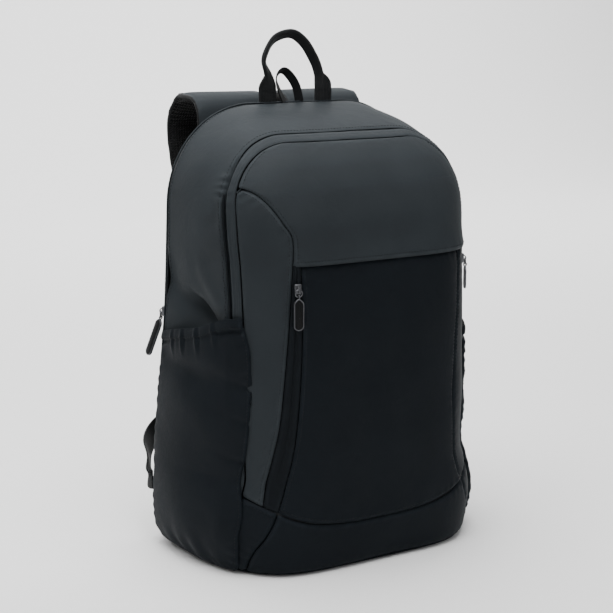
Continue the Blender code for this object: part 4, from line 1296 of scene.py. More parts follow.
def set_knit(mesh, values):
    mesh.attributes.new("knit", "FLOAT_VECTOR", "POINT").data.foreach_set("vector", values.ravel())


def paint_faces(mesh, choose):
    """Gives each face the slot that choose makes of the faces' middles."""
    middles = np.empty(3 * len(mesh.polygons))
    mesh.polygons.foreach_get("center", middles)
    slots = np.asarray(choose(middles.reshape(-1, 3)), dtype=np.int32)
    mesh.polygons.foreach_set("material_index", slots)
    mesh.shade_smooth()


def pad_outline(s, t):
    """X and Z on the back panel, inside the laptop compartment's band."""
    drawn_in = LAPTOP_NARROW - SEAM
    top = HEIGHT - drawn_in
    z = FOOT + (top - SEAM - FOOT) * np.sin(0.5 * np.pi * t**1.2)
    half = arch_half(z, back_half(z) - drawn_in, top, BACK_CORNER - drawn_in)
    return half * (2.0 * s - 1.0), z


def pad_line(points):
    """Depth of the air channels and seams of the back panel."""
    x, z = np.abs(points[:, 0]), points[:, 2]
    spine = bump_at(x, 0.0085)
    side = bump_at(x - 0.092, 0.0030)
    lower = bump_at(z - 0.118 + 0.18 * x, 0.0045)
    upper = bump_at(z - 0.310 - 0.12 * x, 0.0045)
    across = np.maximum(lower, upper) * smooth_step((0.096 - x) / 0.004)
    return np.maximum.reduce((spine, side * smooth_step((0.415 - z) / 0.03), across))


def make_back_panel():
    """Back panel: foam under spacer mesh with a spine channel and sewn lines."""
    flat_y = LAPTOP_BAND + SEAM

    def inside(s, t):
        x, z = pad_outline(1.012 * s - 0.006, 1.003 * t)
        return spot(x, back_y(z) + flat_y, z)

    def crowned(s, t):
        crown = (1.0 - (2.0 * s - 1.0) ** 6) * (1.0 - (2.0 * t - 1.0) ** 8)
        points = inside(s, t)
        points[..., 1] += PAD_EDGE - 0.0015 + PAD_CROWN * crown
        return points

    mesh = closed_pad("back_panel_pad", inside, crowned, 60, 90)
    pad = add_piece("back_panel_pad", mesh, ("mesh", "binding"), ["back_panel"])
    puff_up(pad, 0.0045, PAD_PRESSURE, 0.0022)
    mesh = refine(pad)
    points = coordinates(mesh)
    outer = smooth_step((points[:, 1] - SEAM_Y - back_y(points[:, 2]) - flat_y - 0.003) / 0.002)
    points[:, 1] -= CHANNEL_DEPTH * pad_line(points) * outer
    mesh.vertices.foreach_set("co", points.ravel())
    set_knit(mesh, points[:, [0, 2, 1]])

    def choose(middles):
        x, z = np.abs(middles[:, 0]), middles[:, 2]
        top = HEIGHT - LAPTOP_NARROW
        half = arch_half(z, laptop_rear_half(z), top, BACK_CORNER - LAPTOP_NARROW)
        return (np.minimum(half - x, top - z) < PAD_BINDING).astype(int)

    paint_faces(mesh, choose)


def strap_frame(side, shares):
    """Middle, across direction, outward normal and width of a shoulder strap at shares."""
    points = np.array(
        [
            (side * (STRAP_CENTRE + BACK_HALF * across), STRAP_REACH * behind, HEIGHT * height)
            for across, behind, height, _ in STRAP_ROUTE
        ]
    )
    seat = LAPTOP_BAND + SEAM + PAD_EDGE + PAD_CROWN + SEAT_GAP + 0.5 * STRAP_THICK
    points[:2, 1] = back_y(points[:2, 2]) + seat
    points[:, 1] += SEAM_Y
    widths = np.interp(
        shares, np.linspace(0.0, 1.0, len(STRAP_ROUTE)), [row[3] for row in STRAP_ROUTE]
    )
    inner = YOKE_FLARE * smooth_step((0.44 - shares) / 0.16)
    outer = ARCH_FLARE * smooth_step((0.78 - shares) / 0.25)
    middles = smooth_route(points, shares)
    middles[..., 0] += side * 0.5 * (outer - inner)
    ahead = unit(smooth_route(points, shares + 0.002) - smooth_route(points, shares - 0.002))
    across = np.broadcast_to(np.array((1.0, 0.0, 0.0)), ahead.shape)
    across = unit(across - ahead * np.sum(across * ahead, axis=-1, keepdims=True))
    return middles, across, np.cross(across, ahead), STRAP_WIDTH * widths + inner + outer


def make_strap(side, word):
    """Padded strap: coated cloth outside, spacer mesh inside, bound along its edges."""

    def sheet_at(offset):
        def place(s, t):
            middle, across, out, width = strap_frame(side, t)
            share = 2.0 * s - 1.0
            thin = 1.0 - 0.45 * np.abs(share) ** 8
            narrow = (0.5 * width - 0.0012) * share
            return middle + across * narrow[..., None] + out * (offset * thin)[..., None]

        return place

    name = f"shoulder_strap_{word}_pad"
    half = 0.5 * STRAP_THICK - 0.0009
    mesh = closed_pad(name, sheet_at(-half), sheet_at(half), 18, 150)
    finishes = ("cloth", "mesh", "binding")
    pad = add_piece(name, mesh, finishes, [f"shoulder_strap_{word}"])
    puff_up(pad, 0.0040, PAD_PRESSURE, 0.0009)
    mesh = refine(pad)
    middles, acrosses, outs, widths = strap_frame(side, np.linspace(0.0, 1.0, 500))
    lengths = lengths_along(middles[None], 1)[0]

    def on_strap(points):
        """Nearest place of the route, and each point's way across and out from it."""
        chunks = np.array_split(points, max(1, len(points) // 4000))
        aways = (np.linalg.norm(chunk[:, None] - middles[None], axis=-1) for chunk in chunks)
        nearest = np.concatenate([np.argmin(away, axis=1) for away in aways])
        offset = points - middles[nearest]
        across = np.sum(offset * acrosses[nearest], axis=1)
        return nearest, across, np.sum(offset * outs[nearest], axis=1)

    points = coordinates(mesh)
    nearest, across, out = on_strap(points)
    edge = 0.5 * widths[nearest] - np.abs(across)
    seam = 0.0009 * bump_at(edge - 0.0075, 0.0011)
    points -= outs[nearest] * (np.sign(out) * seam)[:, None]
    mesh.vertices.foreach_set("co", points.ravel())
    set_knit(mesh, np.stack((across, lengths[nearest], out), axis=-1))

    def choose(middles_of_faces):
        nearest, across, out = on_strap(middles_of_faces)
        bound = 0.5 * widths[nearest] - np.abs(across) < STRAP_BINDING
        return np.where(bound, 2, np.where(out > 0, 0, 1))

    paint_faces(mesh, choose)


# Webbing, handle and loop


def web_points(side):
    ends, _, _, _ = strap_frame(side, np.array((1.0 - 1.0 / (len(STRAP_ROUTE) - 1), 1.0)))
    down = (ends[1] - ends[0]) / np.linalg.norm(ends[1] - ends[0])
    start = ends[1] + down * (BUCKLE_HEIGHT + 2.0 * SEAT_GAP)
    free = [
        (side * BACK_HALF * across, STRAP_REACH * behind + SEAM_Y, HEIGHT * height)
        for across, behind, height, _ in WEB_ROUTE
    ]
    z = np.array(HEIGHT * WEB_SEAT)
    seam = side_point(side, z, np.array(0.0))
    back = unit(seam - side_point(side, z, np.array(0.002)))
    out = np.array((back[1], -back[0], 0.0)) * side
    seat = seam + out * (POCKET_CLEAR + 0.5 * WALL) + back * SEAM
    return np.array([start, start + down * WEB_LEAVE, *free, seat + back * WEB_SEAT_RUN, seat])


def make_webbing(side, word):
    points = web_points(side)
    rolls = [0, 0, *[row[3] for row in WEB_ROUTE], 90, 90]

    def place(s, t):
        roll = np.radians(np.interp(t, np.linspace(0.0, 1.0, len(rolls)), rolls))
        across = np.stack((np.cos(roll), 0.0 * roll, side * np.sin(roll)), axis=-1)
        ahead = unit(smooth_route(points, t + 0.002) - smooth_route(points, t - 0.002))
        across = unit(across - ahead * np.sum(across * ahead, axis=-1, keepdims=True))
        return smooth_route(points, t) + across * (WEB_WIDTH * (s - 0.5))[..., None]

    node = f"strap_webbing_{word}"
    ribbon(f"{node}_band", node, 8, 160, place, WEB_THICK, "webbing")


def crosswise(points, t, turn):
    """Level and upright directions across a band in the back seam's plane, turned by an angle."""
    ahead = smooth_route(points, t + 0.01) - smooth_route(points, t - 0.01)
    sideways = unit(np.stack((ahead[..., 2], 0.0 * t, -ahead[..., 0]), axis=-1))
    level = np.array((0.0, 1.0, 0.0))
    across = sideways * np.sin(turn)[..., None] + level * np.cos(turn)[..., None]
    lift = sideways * np.cos(turn)[..., None] - level * np.sin(turn)[..., None]
    return across, lift


def upright_route(rise, rows):
    """Points over the back seam from rows of across and up."""
    return np.array(
        [(HANDLE_HALF * row[0], SEAM_Y, HEIGHT + SEAT_GAP + rise * row[1]) for row in rows]
    )


def make_handle():
    """Webbing that stands open at both ends and is folded in half round the grip."""
    points = upright_route(HANDLE_RISE, HANDLE_ROUTE)
    open_shares = [row[2] for row in HANDLE_ROUTE]

    def place(s, t):
        flat = smooth_step(np.interp(t, np.linspace(0.0, 1.0, len(points)), open_shares))
        loose = np.radians(np.interp(t, (0.2, 0.85), (30.0, 60.0)))
        across, lift = crosswise(points, t, loose + (0.5 * np.pi - loose) * flat)
        share = 2.0 * s - 1.0
        folded_across = 0.0005 + 0.0105 * (np.sqrt(share**2 + 0.01) - 0.5)
        folded_lift = 0.0015 * np.tanh(share / 0.16) + 0.0003 * np.sin(40.0 * t + share)
        a = 0.5 * WEB_WIDTH * share * flat + folded_across * (1.0 - flat)
        b = folded_lift * (1.0 - flat)
        return smooth_route(points, t) + across * a[..., None] + lift * b[..., None]

    ribbon("grab_handle_webbing", "grab_handle", 26, 190, place, WEB_THICK, "webbing")
    low, high = HEIGHT + 0.0015, HEIGHT + 0.0125
    lines = []
    for x in (-HANDLE_HALF, HANDLE_HALF):
        left, right = x - TAB_BOX_HALF, x + TAB_BOX_HALF
        sides = ((left, left, low, high), (right, right, low, high))
        ends = ((left, right, low, low), (left, right, high, high))
        for face in (-1.0, 1.0):
            y = SEAM_Y + face * (0.5 * WEB_THICK + THREAD_PROUD)
            for x_start, x_end, z_start, z_end in sides + ends:
                line = np.linspace((x_start, y, z_start), (x_end, y, z_end), 12)
                lines.append((line, np.tile((0.0, face, 0.0), (12, 1))))
    stitch_row("grab_handle_stitches", lines)


def make_loop():
    points = upright_route(LOOP_RISE, LOOP_ROUTE)

    def place(s, t):
        turn = np.radians(np.interp(t, (0.0, 0.3, 0.7, 1.0), (60.0, 30.0, 55.0, 60.0)))
        across, _ = crosswise(points, t, turn)
        return smooth_route(points, t) + across * (LOOP_WIDTH * (s - 0.5))[..., None]

    ribbon("hang_loop_tape", "hang_loop", 6, 90, place, LOOP_THICK, "binding")


# Zip fittings


def metal_piece(name, solid, matrix, finishes, node, smooth=True):
    solid.transform(matrix)
    mesh = bpy.data.meshes.new(name)
    solid.to_mesh(mesh)
    solid.free()
    if smooth:
        mesh.shade_smooth()
    return add_piece(name, mesh, finishes, [node])


def round_edges(solid, edges, offset, segments):
    bmesh.ops.bevel(
        solid,
        geom=edges,
        offset=offset,
        offset_type="OFFSET",
        segments=segments,
        profile=0.5,
        affect="EDGES",
        material=-1,
    )


def wire_ring(solid, centre, major, minor, axis, angle=2.0 * math.pi, steps=28):
    """A round wire bent round an axis through the centre; axis is "X" or "Y"."""
    start = Vector(centre) + Vector((0.0, 0.0, major))
    section = bmesh.ops.create_circle(solid, cap_ends=angle < 6.0, segments=10, radius=minor)
    turn = "Y" if axis == "X" else "X"
    upright = Matrix.Rotation(0.5 * math.pi, 4, turn)
    facing = Matrix.Rotation(0.0 if axis == "X" else 0.5 * math.pi, 4, "Z")
    bmesh.ops.transform(
        solid,
        matrix=Matrix.Translation(start) @ facing @ Matrix.Rotation(0.5 * math.pi, 4, "X")
        if axis == "X"
        else Matrix.Translation(start) @ upright @ Matrix.Rotation(0.5 * math.pi, 4, "Y"),
        verts=section["verts"],
    )
    edges = list({edge for vertex in section["verts"] for edge in vertex.link_edges})
    faces = list({face for vertex in section["verts"] for face in vertex.link_faces})
    bmesh.ops.spin(
        solid,
        geom=section["verts"] + edges + faces,
        cent=centre,
        axis=(1.0, 0.0, 0.0) if axis == "X" else (0.0, 1.0, 0.0),
        angle=angle,
        steps=steps,
        use_merge=angle > 6.0,
    )


def make_fitting(fitting, seat):
    """Slider with a bail, a wire ring and a long rounded pull with a rubber core."""
    hole_y = -SEAT_GAP - SLIDER.y + FITTING_LAP - 0.5 * LUG_DEPTH - 0.5 * FITTING_LAP
    hole = Vector((0.0, hole_y, 0.0))
    seated = Matrix.Translation(seat) @ Matrix.Rotation(math.radians(fitting.turn), 4, "Z")
    hung = Matrix.Translation(hole - Vector((0.0, 0.0, 2.0 * RING_RADIUS)))
    leaning = seated @ hung @ Matrix.Rotation(math.radians(-fitting.lean), 4, "X")
    leaning = leaning @ Matrix.Rotation(math.radians(fitting.twist), 4, "Z")

    slider = bmesh.new()
    bmesh.ops.create_cube(slider, size=1.0)
    bmesh.ops.scale(slider, vec=SLIDER, verts=slider.verts[:])
    low = [vertex for vertex in slider.verts if vertex.co.z < 0]
    bmesh.ops.scale(slider, vec=(0.72, 1.0, 1.0), verts=low)
    round_edges(slider, slider.edges[:], 0.0011, 3)
    top_y = -SEAT_GAP - SLIDER.y
    middle = (0.0, top_y + 0.5 * SLIDER.y, 0.0)
    bmesh.ops.translate(slider, vec=middle, verts=slider.verts[:])
    wire_ring(slider, (0.0, top_y + 0.0003, 0.0), 0.0026, 0.0006, "X", math.pi, 12)
    bmesh.ops.recalc_face_normals(slider, faces=slider.faces[:])
    metal_piece(f"{fitting.name}_slider_body", slider, seated, ["metal"], f"{fitting.name}_slider")

    ring = bmesh.new()
    wire_ring(ring, hole - Vector((0.0, 0.0, RING_RADIUS)), RING_RADIUS, RING_WIRE, "Y")
    bmesh.ops.recalc_face_normals(ring, faces=ring.faces[:])
    metal_piece(f"{fitting.name}_ring_wire", ring, seated, ["metal"], f"{fitting.name}_ring")

    pull = bmesh.new()
    radius = 0.5 * PULL_WIDTH
    bmesh.ops.create_circle(pull, cap_ends=True, segments=40, radius=radius)
    upright = Matrix.Rotation(0.5 * math.pi, 4, "X")
    bmesh.ops.transform(pull, matrix=upright, verts=pull.verts[:])
    straight = 0.5 * fitting.pull_length - radius
    for vertex in pull.verts:
        vertex.co.z += math.copysign(straight, vertex.co.z)
        if vertex.co.z > 0:
            vertex.co.x *= 1.0 - 0.35 * smooth_step((vertex.co.z - straight) / radius)
    made = bmesh.ops.extrude_face_region(pull, geom=pull.faces[:], use_keep_orig=True)
    added = [item for item in made["geom"] if isinstance(item, bmesh.types.BMVert)]
    bmesh.ops.translate(pull, vec=(0.0, PULL_THICK, 0.0), verts=added)
    bmesh.ops.translate(pull, vec=(0.0, -0.5 * PULL_THICK, 0.0), verts=pull.verts[:])
    bmesh.ops.recalc_face_normals(pull, faces=pull.faces[:])
    for plate in [face for face in pull.faces if len(face.verts) > 4]:
        bmesh.ops.inset_region(pull, faces=[plate], thickness=0.0003, depth=0.0002)
        bmesh.ops.inset_region(pull, faces=[plate], thickness=0.0006, depth=0.0)
        bmesh.ops.inset_region(pull, faces=[plate], thickness=0.0002, depth=-0.0003)
        bmesh.ops.inset_region(pull, faces=[plate], thickness=0.0012, depth=0.0005)
        plate.material_index = 1
        for edge in plate.edges:
            for face in edge.link_faces:
                face.material_index = 1
    drop = PULL_DROP + 0.5 * fitting.pull_length
    bmesh.ops.translate(pull, vec=(0.0, 0.0, -drop), verts=pull.verts[:])
    wire_ring(pull, (0.0, 0.0, 0.0), 0.0017, 0.0006, "X")
    bmesh.ops.recalc_face_normals(pull, faces=pull.faces[:])
    plate = metal_piece(
        f"{fitting.name}_pull_plate",
        pull,
        leaning,
        ["metal", "rubber"],
        f"{fitting.name}_pull",
        smooth=False,
    )
    for polygon in plate.data.polygons:
        polygon.use_smooth = polygon.material_index == 1 or polygon.area < 2e-6


# Settings


def colour_setting(name, description, hexadecimal):
    return bpy.props.FloatVectorProperty(
        name=name,
        description=description,
        subtype="COLOR",
        default=linear(hexadecimal)[:3],
        min=0.0,
        max=1.0,
    )


def length_setting(name, description, default, lowest, highest, digits=4):
    return bpy.props.FloatProperty(
        name=name,
        description=description,
        default=default,
        min=lowest,
        max=highest,
        subtype="DISTANCE",
        precision=digits,
    )


def power_setting(name, description, watts):
    return bpy.props.FloatProperty(
        name=name, description=description, default=watts, min=0.0, unit="POWER"
    )


class BackpackColours(bpy.types.PropertyGroup):
    """Colours and gloss of the backpack's finishes."""

    cloth: colour_setting(
        "Coated cloth", "Colour of the sides, the roof and the upper front", "#282C2F"
    )
    lower_cloth: colour_setting("Lower cloth", "Colour of the pockets and the base", "#12161A")
    cloth_gloss: bpy.props.FloatProperty(
        name="Cloth roughness",
        description="Roughness of the coated cloth",
        default=0.60,
        min=0.1,
        max=0.9,
        subtype="FACTOR",
    )
    tape: colour_setting("Zip tape", "Colour of the coated zip tapes", "#101316")
    # Mesh colour kept dark partly as painted shade for the shadowed insides of the straps, besides
    # the knit's own dark colour.
    mesh: colour_setting(
        "Spacer mesh", "Colour of the mesh on the back and inside the straps", "#0B0C0D"
    )
    webbing: colour_setting("Webbing", "Colour of the webbing and binding", "#121416")
    thread: colour_setting("Thread", "Colour of the topstitching", "#17191B")
    metal: colour_setting("Metal", "Colour of the zips' plated metal", "#58595C")
    rubber: colour_setting("Rubber", "Colour of the core of the zip pulls", "#0C0D0E")
    acetal: colour_setting("Buckles", "Colour of the moulded buckles", "#1A1B1C")


class BackpackSizes(bpy.types.PropertyGroup):
    """Sizes of the sewing."""

    roll_depth: length_setting(
        "Seam depth", "How far the cloth turns in at a seam", 0.0015, 0.0, 0.003
    )
    roll_run: length_setting(
        "Seam run", "How far from a seam the cloth starts to turn in", 0.0020, 0.0005, 0.01
    )
    pucker_depth: length_setting(
        "Pucker depth", "Depth of the puckers beside a seam", 0.00028, 0.0, 0.002, 5
    )
    pucker_pitch: length_setting("Pucker pitch", "Distance between puckers", 0.013, 0.002, 0.05)
    stitch_length: length_setting("Stitch length", "Length of one stitch", 0.0026, 0.001, 0.006)
    stitch_pitch: length_setting(
        "Stitch pitch", "Distance from one stitch to the next", 0.0036, 0.001, 0.01
    )


class BackpackStage(bpy.types.PropertyGroup):
    """Floor and lights."""

    floor: colour_setting("Floor", "Colour of the floor", "#F6F6F6")
    top_light: power_setting("Top light", "Power of the soft light above", 24.0)
    side_light: power_setting("Side light", "Power of the soft light on the left", 3.0)
    front_light: power_setting("Front light", "Power of the weak light beside the camera", 5.0)
    backdrop_light: power_setting("Backdrop light", "Power of the light on the backdrop", 170.0)
    surroundings: bpy.props.FloatProperty(
        name="Surroundings",
        description="Brightness of the white surroundings",
        default=0.38,
        min=0.0,
        max=2.0,
        subtype="FACTOR",
    )


# Operators


class BuildOperator:
    """What the backpack's operators share."""

    bl_options = {"REGISTER", "UNDO"}


class BACKPACK_OT_gusset(BuildOperator, bpy.types.Operator):
    """Sides and roof, with the piping along the back seam"""

    bl_idname = "backpack.gusset"
    bl_label = "Sides and roof"

    def execute(self, context):
        sewing = Sewing(left=0.5, right=0.5, low=0.5, high=left_only(3.8, 0.5))
        grid = sewn_panel(
            "gusset",
            420,
            44,
            gusset_place,
            5,
            sewing,
            pucker=0.8,
            ripple=0.0006,
            wavelength=0.075,
            relief=side_relief,
            crowd=(0.0, 0.7),
        )
        stitch_row(
            "gusset_stitches",
            [edge_line(grid, edge, 0.0042, 0.04, 0.96) for edge in ("low", "high")],
        )
        u = np.linspace(-1.0, 1.0, 320)
        x, z, _ = arch_point(u, back_half, HEIGHT, BACK_CORNER)
        line = spot(x * 1.001, back_y(z) - 0.0003, z + 0.0002)
        tube("back_seam_piping", line, 0.0010, "cloth")
        # Dark coil in the open seam of the left side only: the main zip's coil, and painted shade
        # in that gap.
        u = np.linspace(-0.97, -0.40, 160)
        _, _, turned = arch_point(u, back_half, HEIGHT, BACK_CORNER)
        sunk = spot(np.sin(turned), 0.0 * u, -np.cos(turned))
        line = gusset_point(u, np.ones_like(u))
        tube("main_zip_coil", line + GAP_SHADE_COIL_SUNK * sunk, GAP_SHADE_COIL_RADIUS, "tape")
        return {"FINISHED"}


class BACKPACK_OT_zip_bands(BuildOperator, bpy.types.Operator):
    """Bands with the main zip and the laptop compartment's zip"""

    bl_idname = "backpack.zip_bands"
    bl_label = "Zip bands"

    def execute(self, context):
        flat = Sewing(left=0.3, right=0.3, low=0.9, high=0.8)
        sewn_panel(
            "laptop_zip_band",
            360,
            24,
            laptop_band_place,
            11,
            flat,
            pucker=0.2,
            ripple=0.0002,
            wavelength=0.05,
            relief=band_relief,
            finish="tape",
            crowd=(0.0, 0.35),
        )
        deep = Sewing(0.3, 0.3, left_only(3.0, 0.4), 0.45)
        sewn_panel(
            "main_zip_strip",
            420,
            24,
            main_strip_place,
            12,
            deep,
            pucker=0.3,
            ripple=0.00025,
            wavelength=0.03,
            relief=strip_relief,
            crowd=(0.0, 0.35),
        )
        return {"FINISHED"}


class BACKPACK_OT_front_upper(BuildOperator, bpy.types.Operator):
    """Upper front with the flap over the front pocket"""

    bl_idname = "backpack.front_upper"
    bl_label = "Upper front"

    def execute(self, context):
        sewing = Sewing(left=0.7, right=0.5, low=1.1, high=0.4)
        grid = sewn_panel(
            "front_upper",
            130,
            150,
            upper_place,
            21,
            sewing,
            pucker=0.7,
            ripple=0.0005,
            wavelength=0.080,
            relief=upper_relief,
        )
        stitch_row(
            "front_upper_stitches",
            [
                edge_line(grid, "low", 0.0045, 0.05, 0.97),
                edge_line(grid, "left", 0.0040, 0.10, 0.70),
                edge_line(grid, "right", 0.0040, 0.05, 0.70),
            ],
        )
        return {"FINISHED"}


class BACKPACK_OT_front_sides(BuildOperator, bpy.types.Operator):
    """Side panels of the front"""

    bl_idname = "backpack.front_sides"
    bl_label = "Front sides"

    def execute(self, context):
        left = sewn_panel(
            "front_side_left",
            40,
            190,
            side_left_place,
            41,
            Sewing(left=0.45, right=1.2),
            ripple=0.0006,
            wavelength=0.05,
        )
        # The right front side takes the darker copy of the cloth as painted shade.
        right = sewn_panel(
            "front_side_right",
            36,
            130,
            side_right_place,
            42,
            ripple=0.0006,
            wavelength=0.05,
            finish="lower cloth",
        )
        stitch_row(
            "front_side_stitches",
            [
                edge_line(left, "right", 0.0036, 0.06, 0.97),
                edge_line(right, "left", 0.0036, 0.03, 0.97),
            ],
        )
        return {"FINISHED"}


class BACKPACK_OT_front_pocket(BuildOperator, bpy.types.Operator):
    """Front pocket's panel and the placket with its upright zip"""

    bl_idname = "backpack.front_pocket"
    bl_label = "Front pocket"

    def execute(self, context):
        sewn_panel(
            "front_zip_placket",
            24,
            150,
            placket_place,
            51,
            Sewing(left=1.2, right=1.0, low=0.5, high=0.6),
            pucker=0.3,
            ripple=0.0002,
            wavelength=0.04,
            relief=placket_relief,
            finish="tape",
            crowd=(0.3, 0.3),
        )
        # The front pocket takes the darker copy of the cloth as painted shade.
        grid = sewn_panel(
            "front_pocket",
            130,
            140,
            pocket_place,
            52,
            pucker=0.9,
            ripple=0.0006,
            wavelength=0.070,
            relief=pocket_relief,
            finish="lower cloth",
        )
        stitch_row(
            "front_pocket_stitches",
            [
                edge_line(grid, "left", 0.0036, 0.05, 0.98),
                edge_line(grid, "right", 0.0036, 0.05, 0.98),
                edge_line(grid, "high", 0.0040, 0.02, 0.98),
            ],
        )
        return {"FINISHED"}


class BACKPACK_OT_base(BuildOperator, bpy.types.Operator):
    """Base's front, corner panels and bottom"""

    bl_idname = "backpack.base"
    bl_label = "Base"

    def execute(self, context):
        # The base, its corners and the bottom take the darker copy of the cloth as painted shade.
        sewn_panel(
            "base_front",
            130,
            44,
            base_place,
            61,
            pucker=0.9,
            ripple=0.0005,
            wavelength=0.06,
            finish="lower cloth",
        )
        lines = []
        for side, word, seed in ((-1.0, "left", 62), (1.0, "right", 63)):
            grid = sewn_panel(
                f"base_corner_{word}",
                40,
                50,
                corner_place(side),
                seed,
                Sewing(1.1, 1.6, 1.0, 1.1),
                pucker=1.1,
                ripple=0.0005,
                wavelength=0.04,
                finish="lower cloth",
            )
            lines.append(edge_line(grid, "high", 0.0042, 0.04, 0.96))
        stitch_row("base_corner_stitches", lines)
        sewn_panel(
            "bottom",
            90,
            60,
            bottom_place,
            64,
            Sewing(0.0, 0.0, 0.0, 0.0),
            pucker=0.0,
            ripple=0.0,
            wavelength=0.06,
            finish="lower cloth",
            crowd=(0.0, 0.0),
        )
        x = np.linspace(-BASE_BINDING_HALF, BASE_BINDING_HALF, 160)
        inside = np.array((0.0, BINDING_DEPTH, 0.0))
        line = front_point(x, base_seam_z(x)) + inside
        tube("base_seam_binding", line, BASE_BINDING, "binding")
        x = np.linspace(-FOOT_BINDING_HALF, FOOT_BINDING_HALF, 60)
        rear = back_y(0.0) + LAPTOP_BAND + PAD_EDGE + 0.0012
        line = spot(x, rear, np.full_like(x, 0.0045))
        tube("foot_seam_binding", line, FOOT_BINDING, "binding")
        return {"FINISHED"}


class BACKPACK_OT_side_pockets(BuildOperator, bpy.types.Operator):
    """Open side pockets with gathered hems"""

    bl_idname = "backpack.side_pockets"
    bl_label = "Side pockets"

    def execute(self, context):
        lines = []
        for side, word, seed in ((-1.0, "left", 71), (1.0, "right", 72)):
            grid = side_pocket(side, word, seed)
            lines.append(edge_line(grid, "high", 0.0088, 0.01, 0.99))
            lines.append(edge_line(grid, "right", 0.0034, 0.03, 0.90))
        stitch_row("side_pocket_stitches", lines)
        return {"FINISHED"}


class BACKPACK_OT_back_panel(BuildOperator, bpy.types.Operator):
    """Padded panel against the wearer's back"""

    bl_idname = "backpack.back_panel"
    bl_label = "Back panel"

    def execute(self, context):
        make_back_panel()
        return {"FINISHED"}


class BACKPACK_OT_straps(BuildOperator, bpy.types.Operator):
    """Padded shoulder straps"""

    bl_idname = "backpack.straps"
    bl_label = "Shoulder straps"

    def execute(self, context):
        make_strap(-1.0, "left")
        make_strap(1.0, "right")
        return {"FINISHED"}


class BACKPACK_OT_webbing(BuildOperator, bpy.types.Operator):
    """Lower webbing and its ladder buckles"""

    bl_idname = "backpack.webbing"
    bl_label = "Webbing and buckles"

    def execute(self, context):
        for side, word in ((-1.0, "left"), (1.0, "right")):
            make_webbing(side, word)
            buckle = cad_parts[f"strap_buckle_{word}"]
            buckle.data.materials.clear()
            buckle.data.materials.append(finish_of("acetal"))
            buckle.modifiers.new("joined", "WELD").merge_threshold = 1e-5
            soft = buckle.modifiers.new("soft_edges", "BEVEL")
            soft.width = 0.0006
            soft.segments = 2
            soft.limit_method = "ANGLE"
        return {"FINISHED"}


class BACKPACK_OT_handle(BuildOperator, bpy.types.Operator):
    """Grab handle and hang loop"""

    bl_idname = "backpack.handle"
    bl_label = "Handle and loop"

    def execute(self, context):
        make_handle()
        make_loop()
        return {"FINISHED"}


class BACKPACK_OT_zip_fittings(BuildOperator, bpy.types.Operator):
    """Sliders, rings and pulls of the three zips"""

    bl_idname = "backpack.zip_fittings"
    bl_label = "Zip fittings"

    def execute(self, context):
        z = ZIP_TOP * FRONT_FITTING.height
        middle = 0.5 * (placket_left_x(z) + placket_right_x(z))
        make_fitting(FRONT_FITTING, front_point(middle, z))
        z = ZIP_TOP * LAPTOP_FITTING.height
        band = spot(0.5 * LAPTOP_NARROW - back_half(z), 0.5 * LAPTOP_BAND + back_y(z), z)
        make_fitting(LAPTOP_FITTING, band)
        z = ZIP_TOP * MAIN_FITTING.height
        seat = front_point(0.5 * (inner_zip_x(z) + front_half(z)), z)
        make_fitting(MAIN_FITTING, seat)
        return {"FINISHED"}


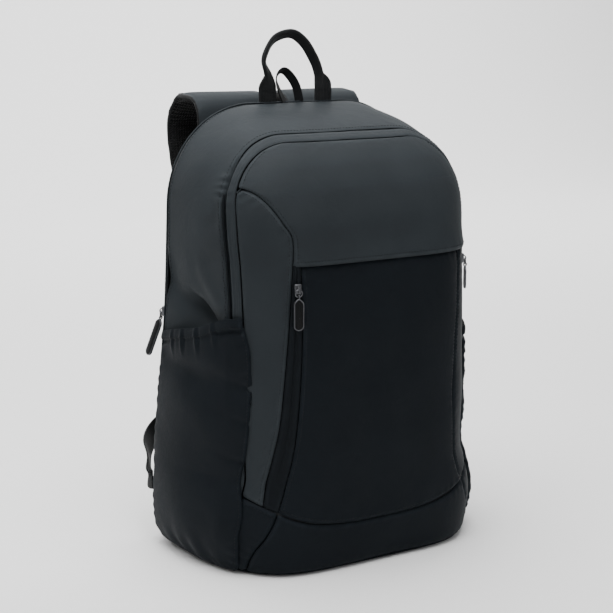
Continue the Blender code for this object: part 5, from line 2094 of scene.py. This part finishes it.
class BACKPACK_OT_stage(BuildOperator, bpy.types.Operator):
    """Camera, pale floor and soft studio light"""

    bl_idname = "backpack.stage"
    bl_label = "Studio"

    def execute(self, context):
        scene = context.scene
        stage = scene.backpack_stage
        ground = bmesh.new()
        bmesh.ops.create_grid(ground, x_segments=1, y_segments=1, size=FLOOR_HALF)
        rear = [vertex for vertex in ground.verts if vertex.co.y > 0]
        bmesh.ops.translate(ground, vec=(0.0, SWEEP_START - FLOOR_HALF, 0.0), verts=rear)
        edge = [line for line in ground.edges if all(end in rear for end in line.verts)]
        turned = bmesh.ops.spin(
            ground,
            geom=rear + edge,
            cent=(0.0, SWEEP_START, SWEEP_RADIUS),
            axis=(1.0, 0.0, 0.0),
            angle=0.5 * math.pi,
            steps=16,
            use_merge=False,
        )
        last = [item for item in turned["geom_last"] if isinstance(item, bmesh.types.BMEdge)]
        raised = bmesh.ops.extrude_edge_only(ground, edges=last)
        upper = [item for item in raised["geom"] if isinstance(item, bmesh.types.BMVert)]
        bmesh.ops.translate(ground, vec=(0.0, 0.0, BACKDROP_RISE), verts=upper)
        bmesh.ops.recalc_face_normals(ground, faces=ground.faces[:])
        mesh = bpy.data.meshes.new("studio_floor")
        ground.to_mesh(mesh)
        ground.free()
        mesh.shade_smooth()
        floor = bpy.data.objects.new("studio_floor", mesh)
        scene.collection.objects.link(floor)
        mesh.materials.append(painted_floor("matt_floor_paint", (*stage.floor, 1.0)))

        lights = (
            ("top_softbox", stage.top_light, (-0.20, -0.12, 1.30), (1.1, 0.9), (0.0, 0.0, 0.22)),
            ("left_softbox", stage.side_light, (-1.30, -0.25, 1.45), (0.8, 0.8), (0.0, 0.0, 0.3)),
            ("front_softbox", stage.front_light, (-0.5, -2.10, 1.30), (1.2, 1.0), (0.0, 0.0, 0.3)),
            ("backdrop_light", stage.backdrop_light, (1.2, 1.2, 2.7), (3.5, 0.8), (1.4, 3.0, 0.9)),
        )
        for name, power, place, size, target in lights:
            data = bpy.data.lights.new(name, "AREA")
            data.shape = "RECTANGLE"
            data.energy = power
            data.size, data.size_y = size
            lamp = bpy.data.objects.new(name, data)
            lamp.location = place
            aim = Vector(target) - Vector(place)
            lamp.rotation_euler = aim.to_track_quat("-Z", "Y").to_euler()
            scene.collection.objects.link(lamp)

        world = bpy.data.worlds.new("white_surroundings")
        world.use_nodes = True
        sky = world.node_tree.nodes["Background"]
        sky.inputs["Color"].default_value = (1.0, 1.0, 1.0, 1.0)
        sky.inputs["Strength"].default_value = stage.surroundings
        scene.world = world

        ahead = Vector(
            (
                math.sin(CAMERA_TURN) * math.cos(CAMERA_DOWN),
                math.cos(CAMERA_TURN) * math.cos(CAMERA_DOWN),
                -math.sin(CAMERA_DOWN),
            )
        )
        data = bpy.data.cameras.new("photo_camera")
        data.sensor_width = SENSOR
        data.lens = FOCAL
        camera = bpy.data.objects.new("photo_camera", data)
        camera.location = LOOK_AT - ahead * CAMERA_AWAY
        camera.rotation_euler = ahead.to_track_quat("-Z", "Y").to_euler()
        scene.collection.objects.link(camera)
        scene.camera = camera
        return {"FINISHED"}


PIECE_OPERATORS = (
    BACKPACK_OT_gusset,
    BACKPACK_OT_zip_bands,
    BACKPACK_OT_front_upper,
    BACKPACK_OT_front_sides,
    BACKPACK_OT_front_pocket,
    BACKPACK_OT_base,
    BACKPACK_OT_side_pockets,
    BACKPACK_OT_back_panel,
    BACKPACK_OT_straps,
    BACKPACK_OT_webbing,
    BACKPACK_OT_handle,
    BACKPACK_OT_zip_fittings,
    BACKPACK_OT_stage,
)
SETTINGS = (
    ("backpack_colours", BackpackColours),
    ("backpack_sizes", BackpackSizes),
    ("backpack_stage", BackpackStage),
)


class BACKPACK_PT_pieces(bpy.types.Panel):
    """Lists the backpack's pieces in the sidebar."""

    bl_idname = "BACKPACK_PT_pieces"
    bl_label = "Laptop Backpack"
    bl_space_type = "VIEW_3D"
    bl_region_type = "UI"
    bl_category = "Backpack"

    def draw(self, context):
        for operator in PIECE_OPERATORS:
            self.layout.operator(operator.bl_idname)
        for name, group in SETTINGS:
            box = self.layout.box()
            for field in group.__annotations__:
                box.prop(getattr(context.scene, name), field)


def register():
    for name, group in SETTINGS:
        bpy.utils.register_class(group)
        setattr(bpy.types.Scene, name, bpy.props.PointerProperty(type=group))
    for operator in PIECE_OPERATORS:
        bpy.utils.register_class(operator)
    bpy.utils.register_class(BACKPACK_PT_pieces)


def unregister():
    bpy.utils.unregister_class(BACKPACK_PT_pieces)
    for operator in reversed(PIECE_OPERATORS):
        bpy.utils.unregister_class(operator)
    for name, group in reversed(SETTINGS):
        delattr(bpy.types.Scene, name)
        bpy.utils.unregister_class(group)


def main():
    register()
    for operator in PIECE_OPERATORS:
        build = getattr(bpy.ops.backpack, operator.bl_idname.split(".")[1])
        if build() != {"FINISHED"}:
            raise RuntimeError(f"{operator.bl_label} was not built")


if __name__ == "__main__":
    main()
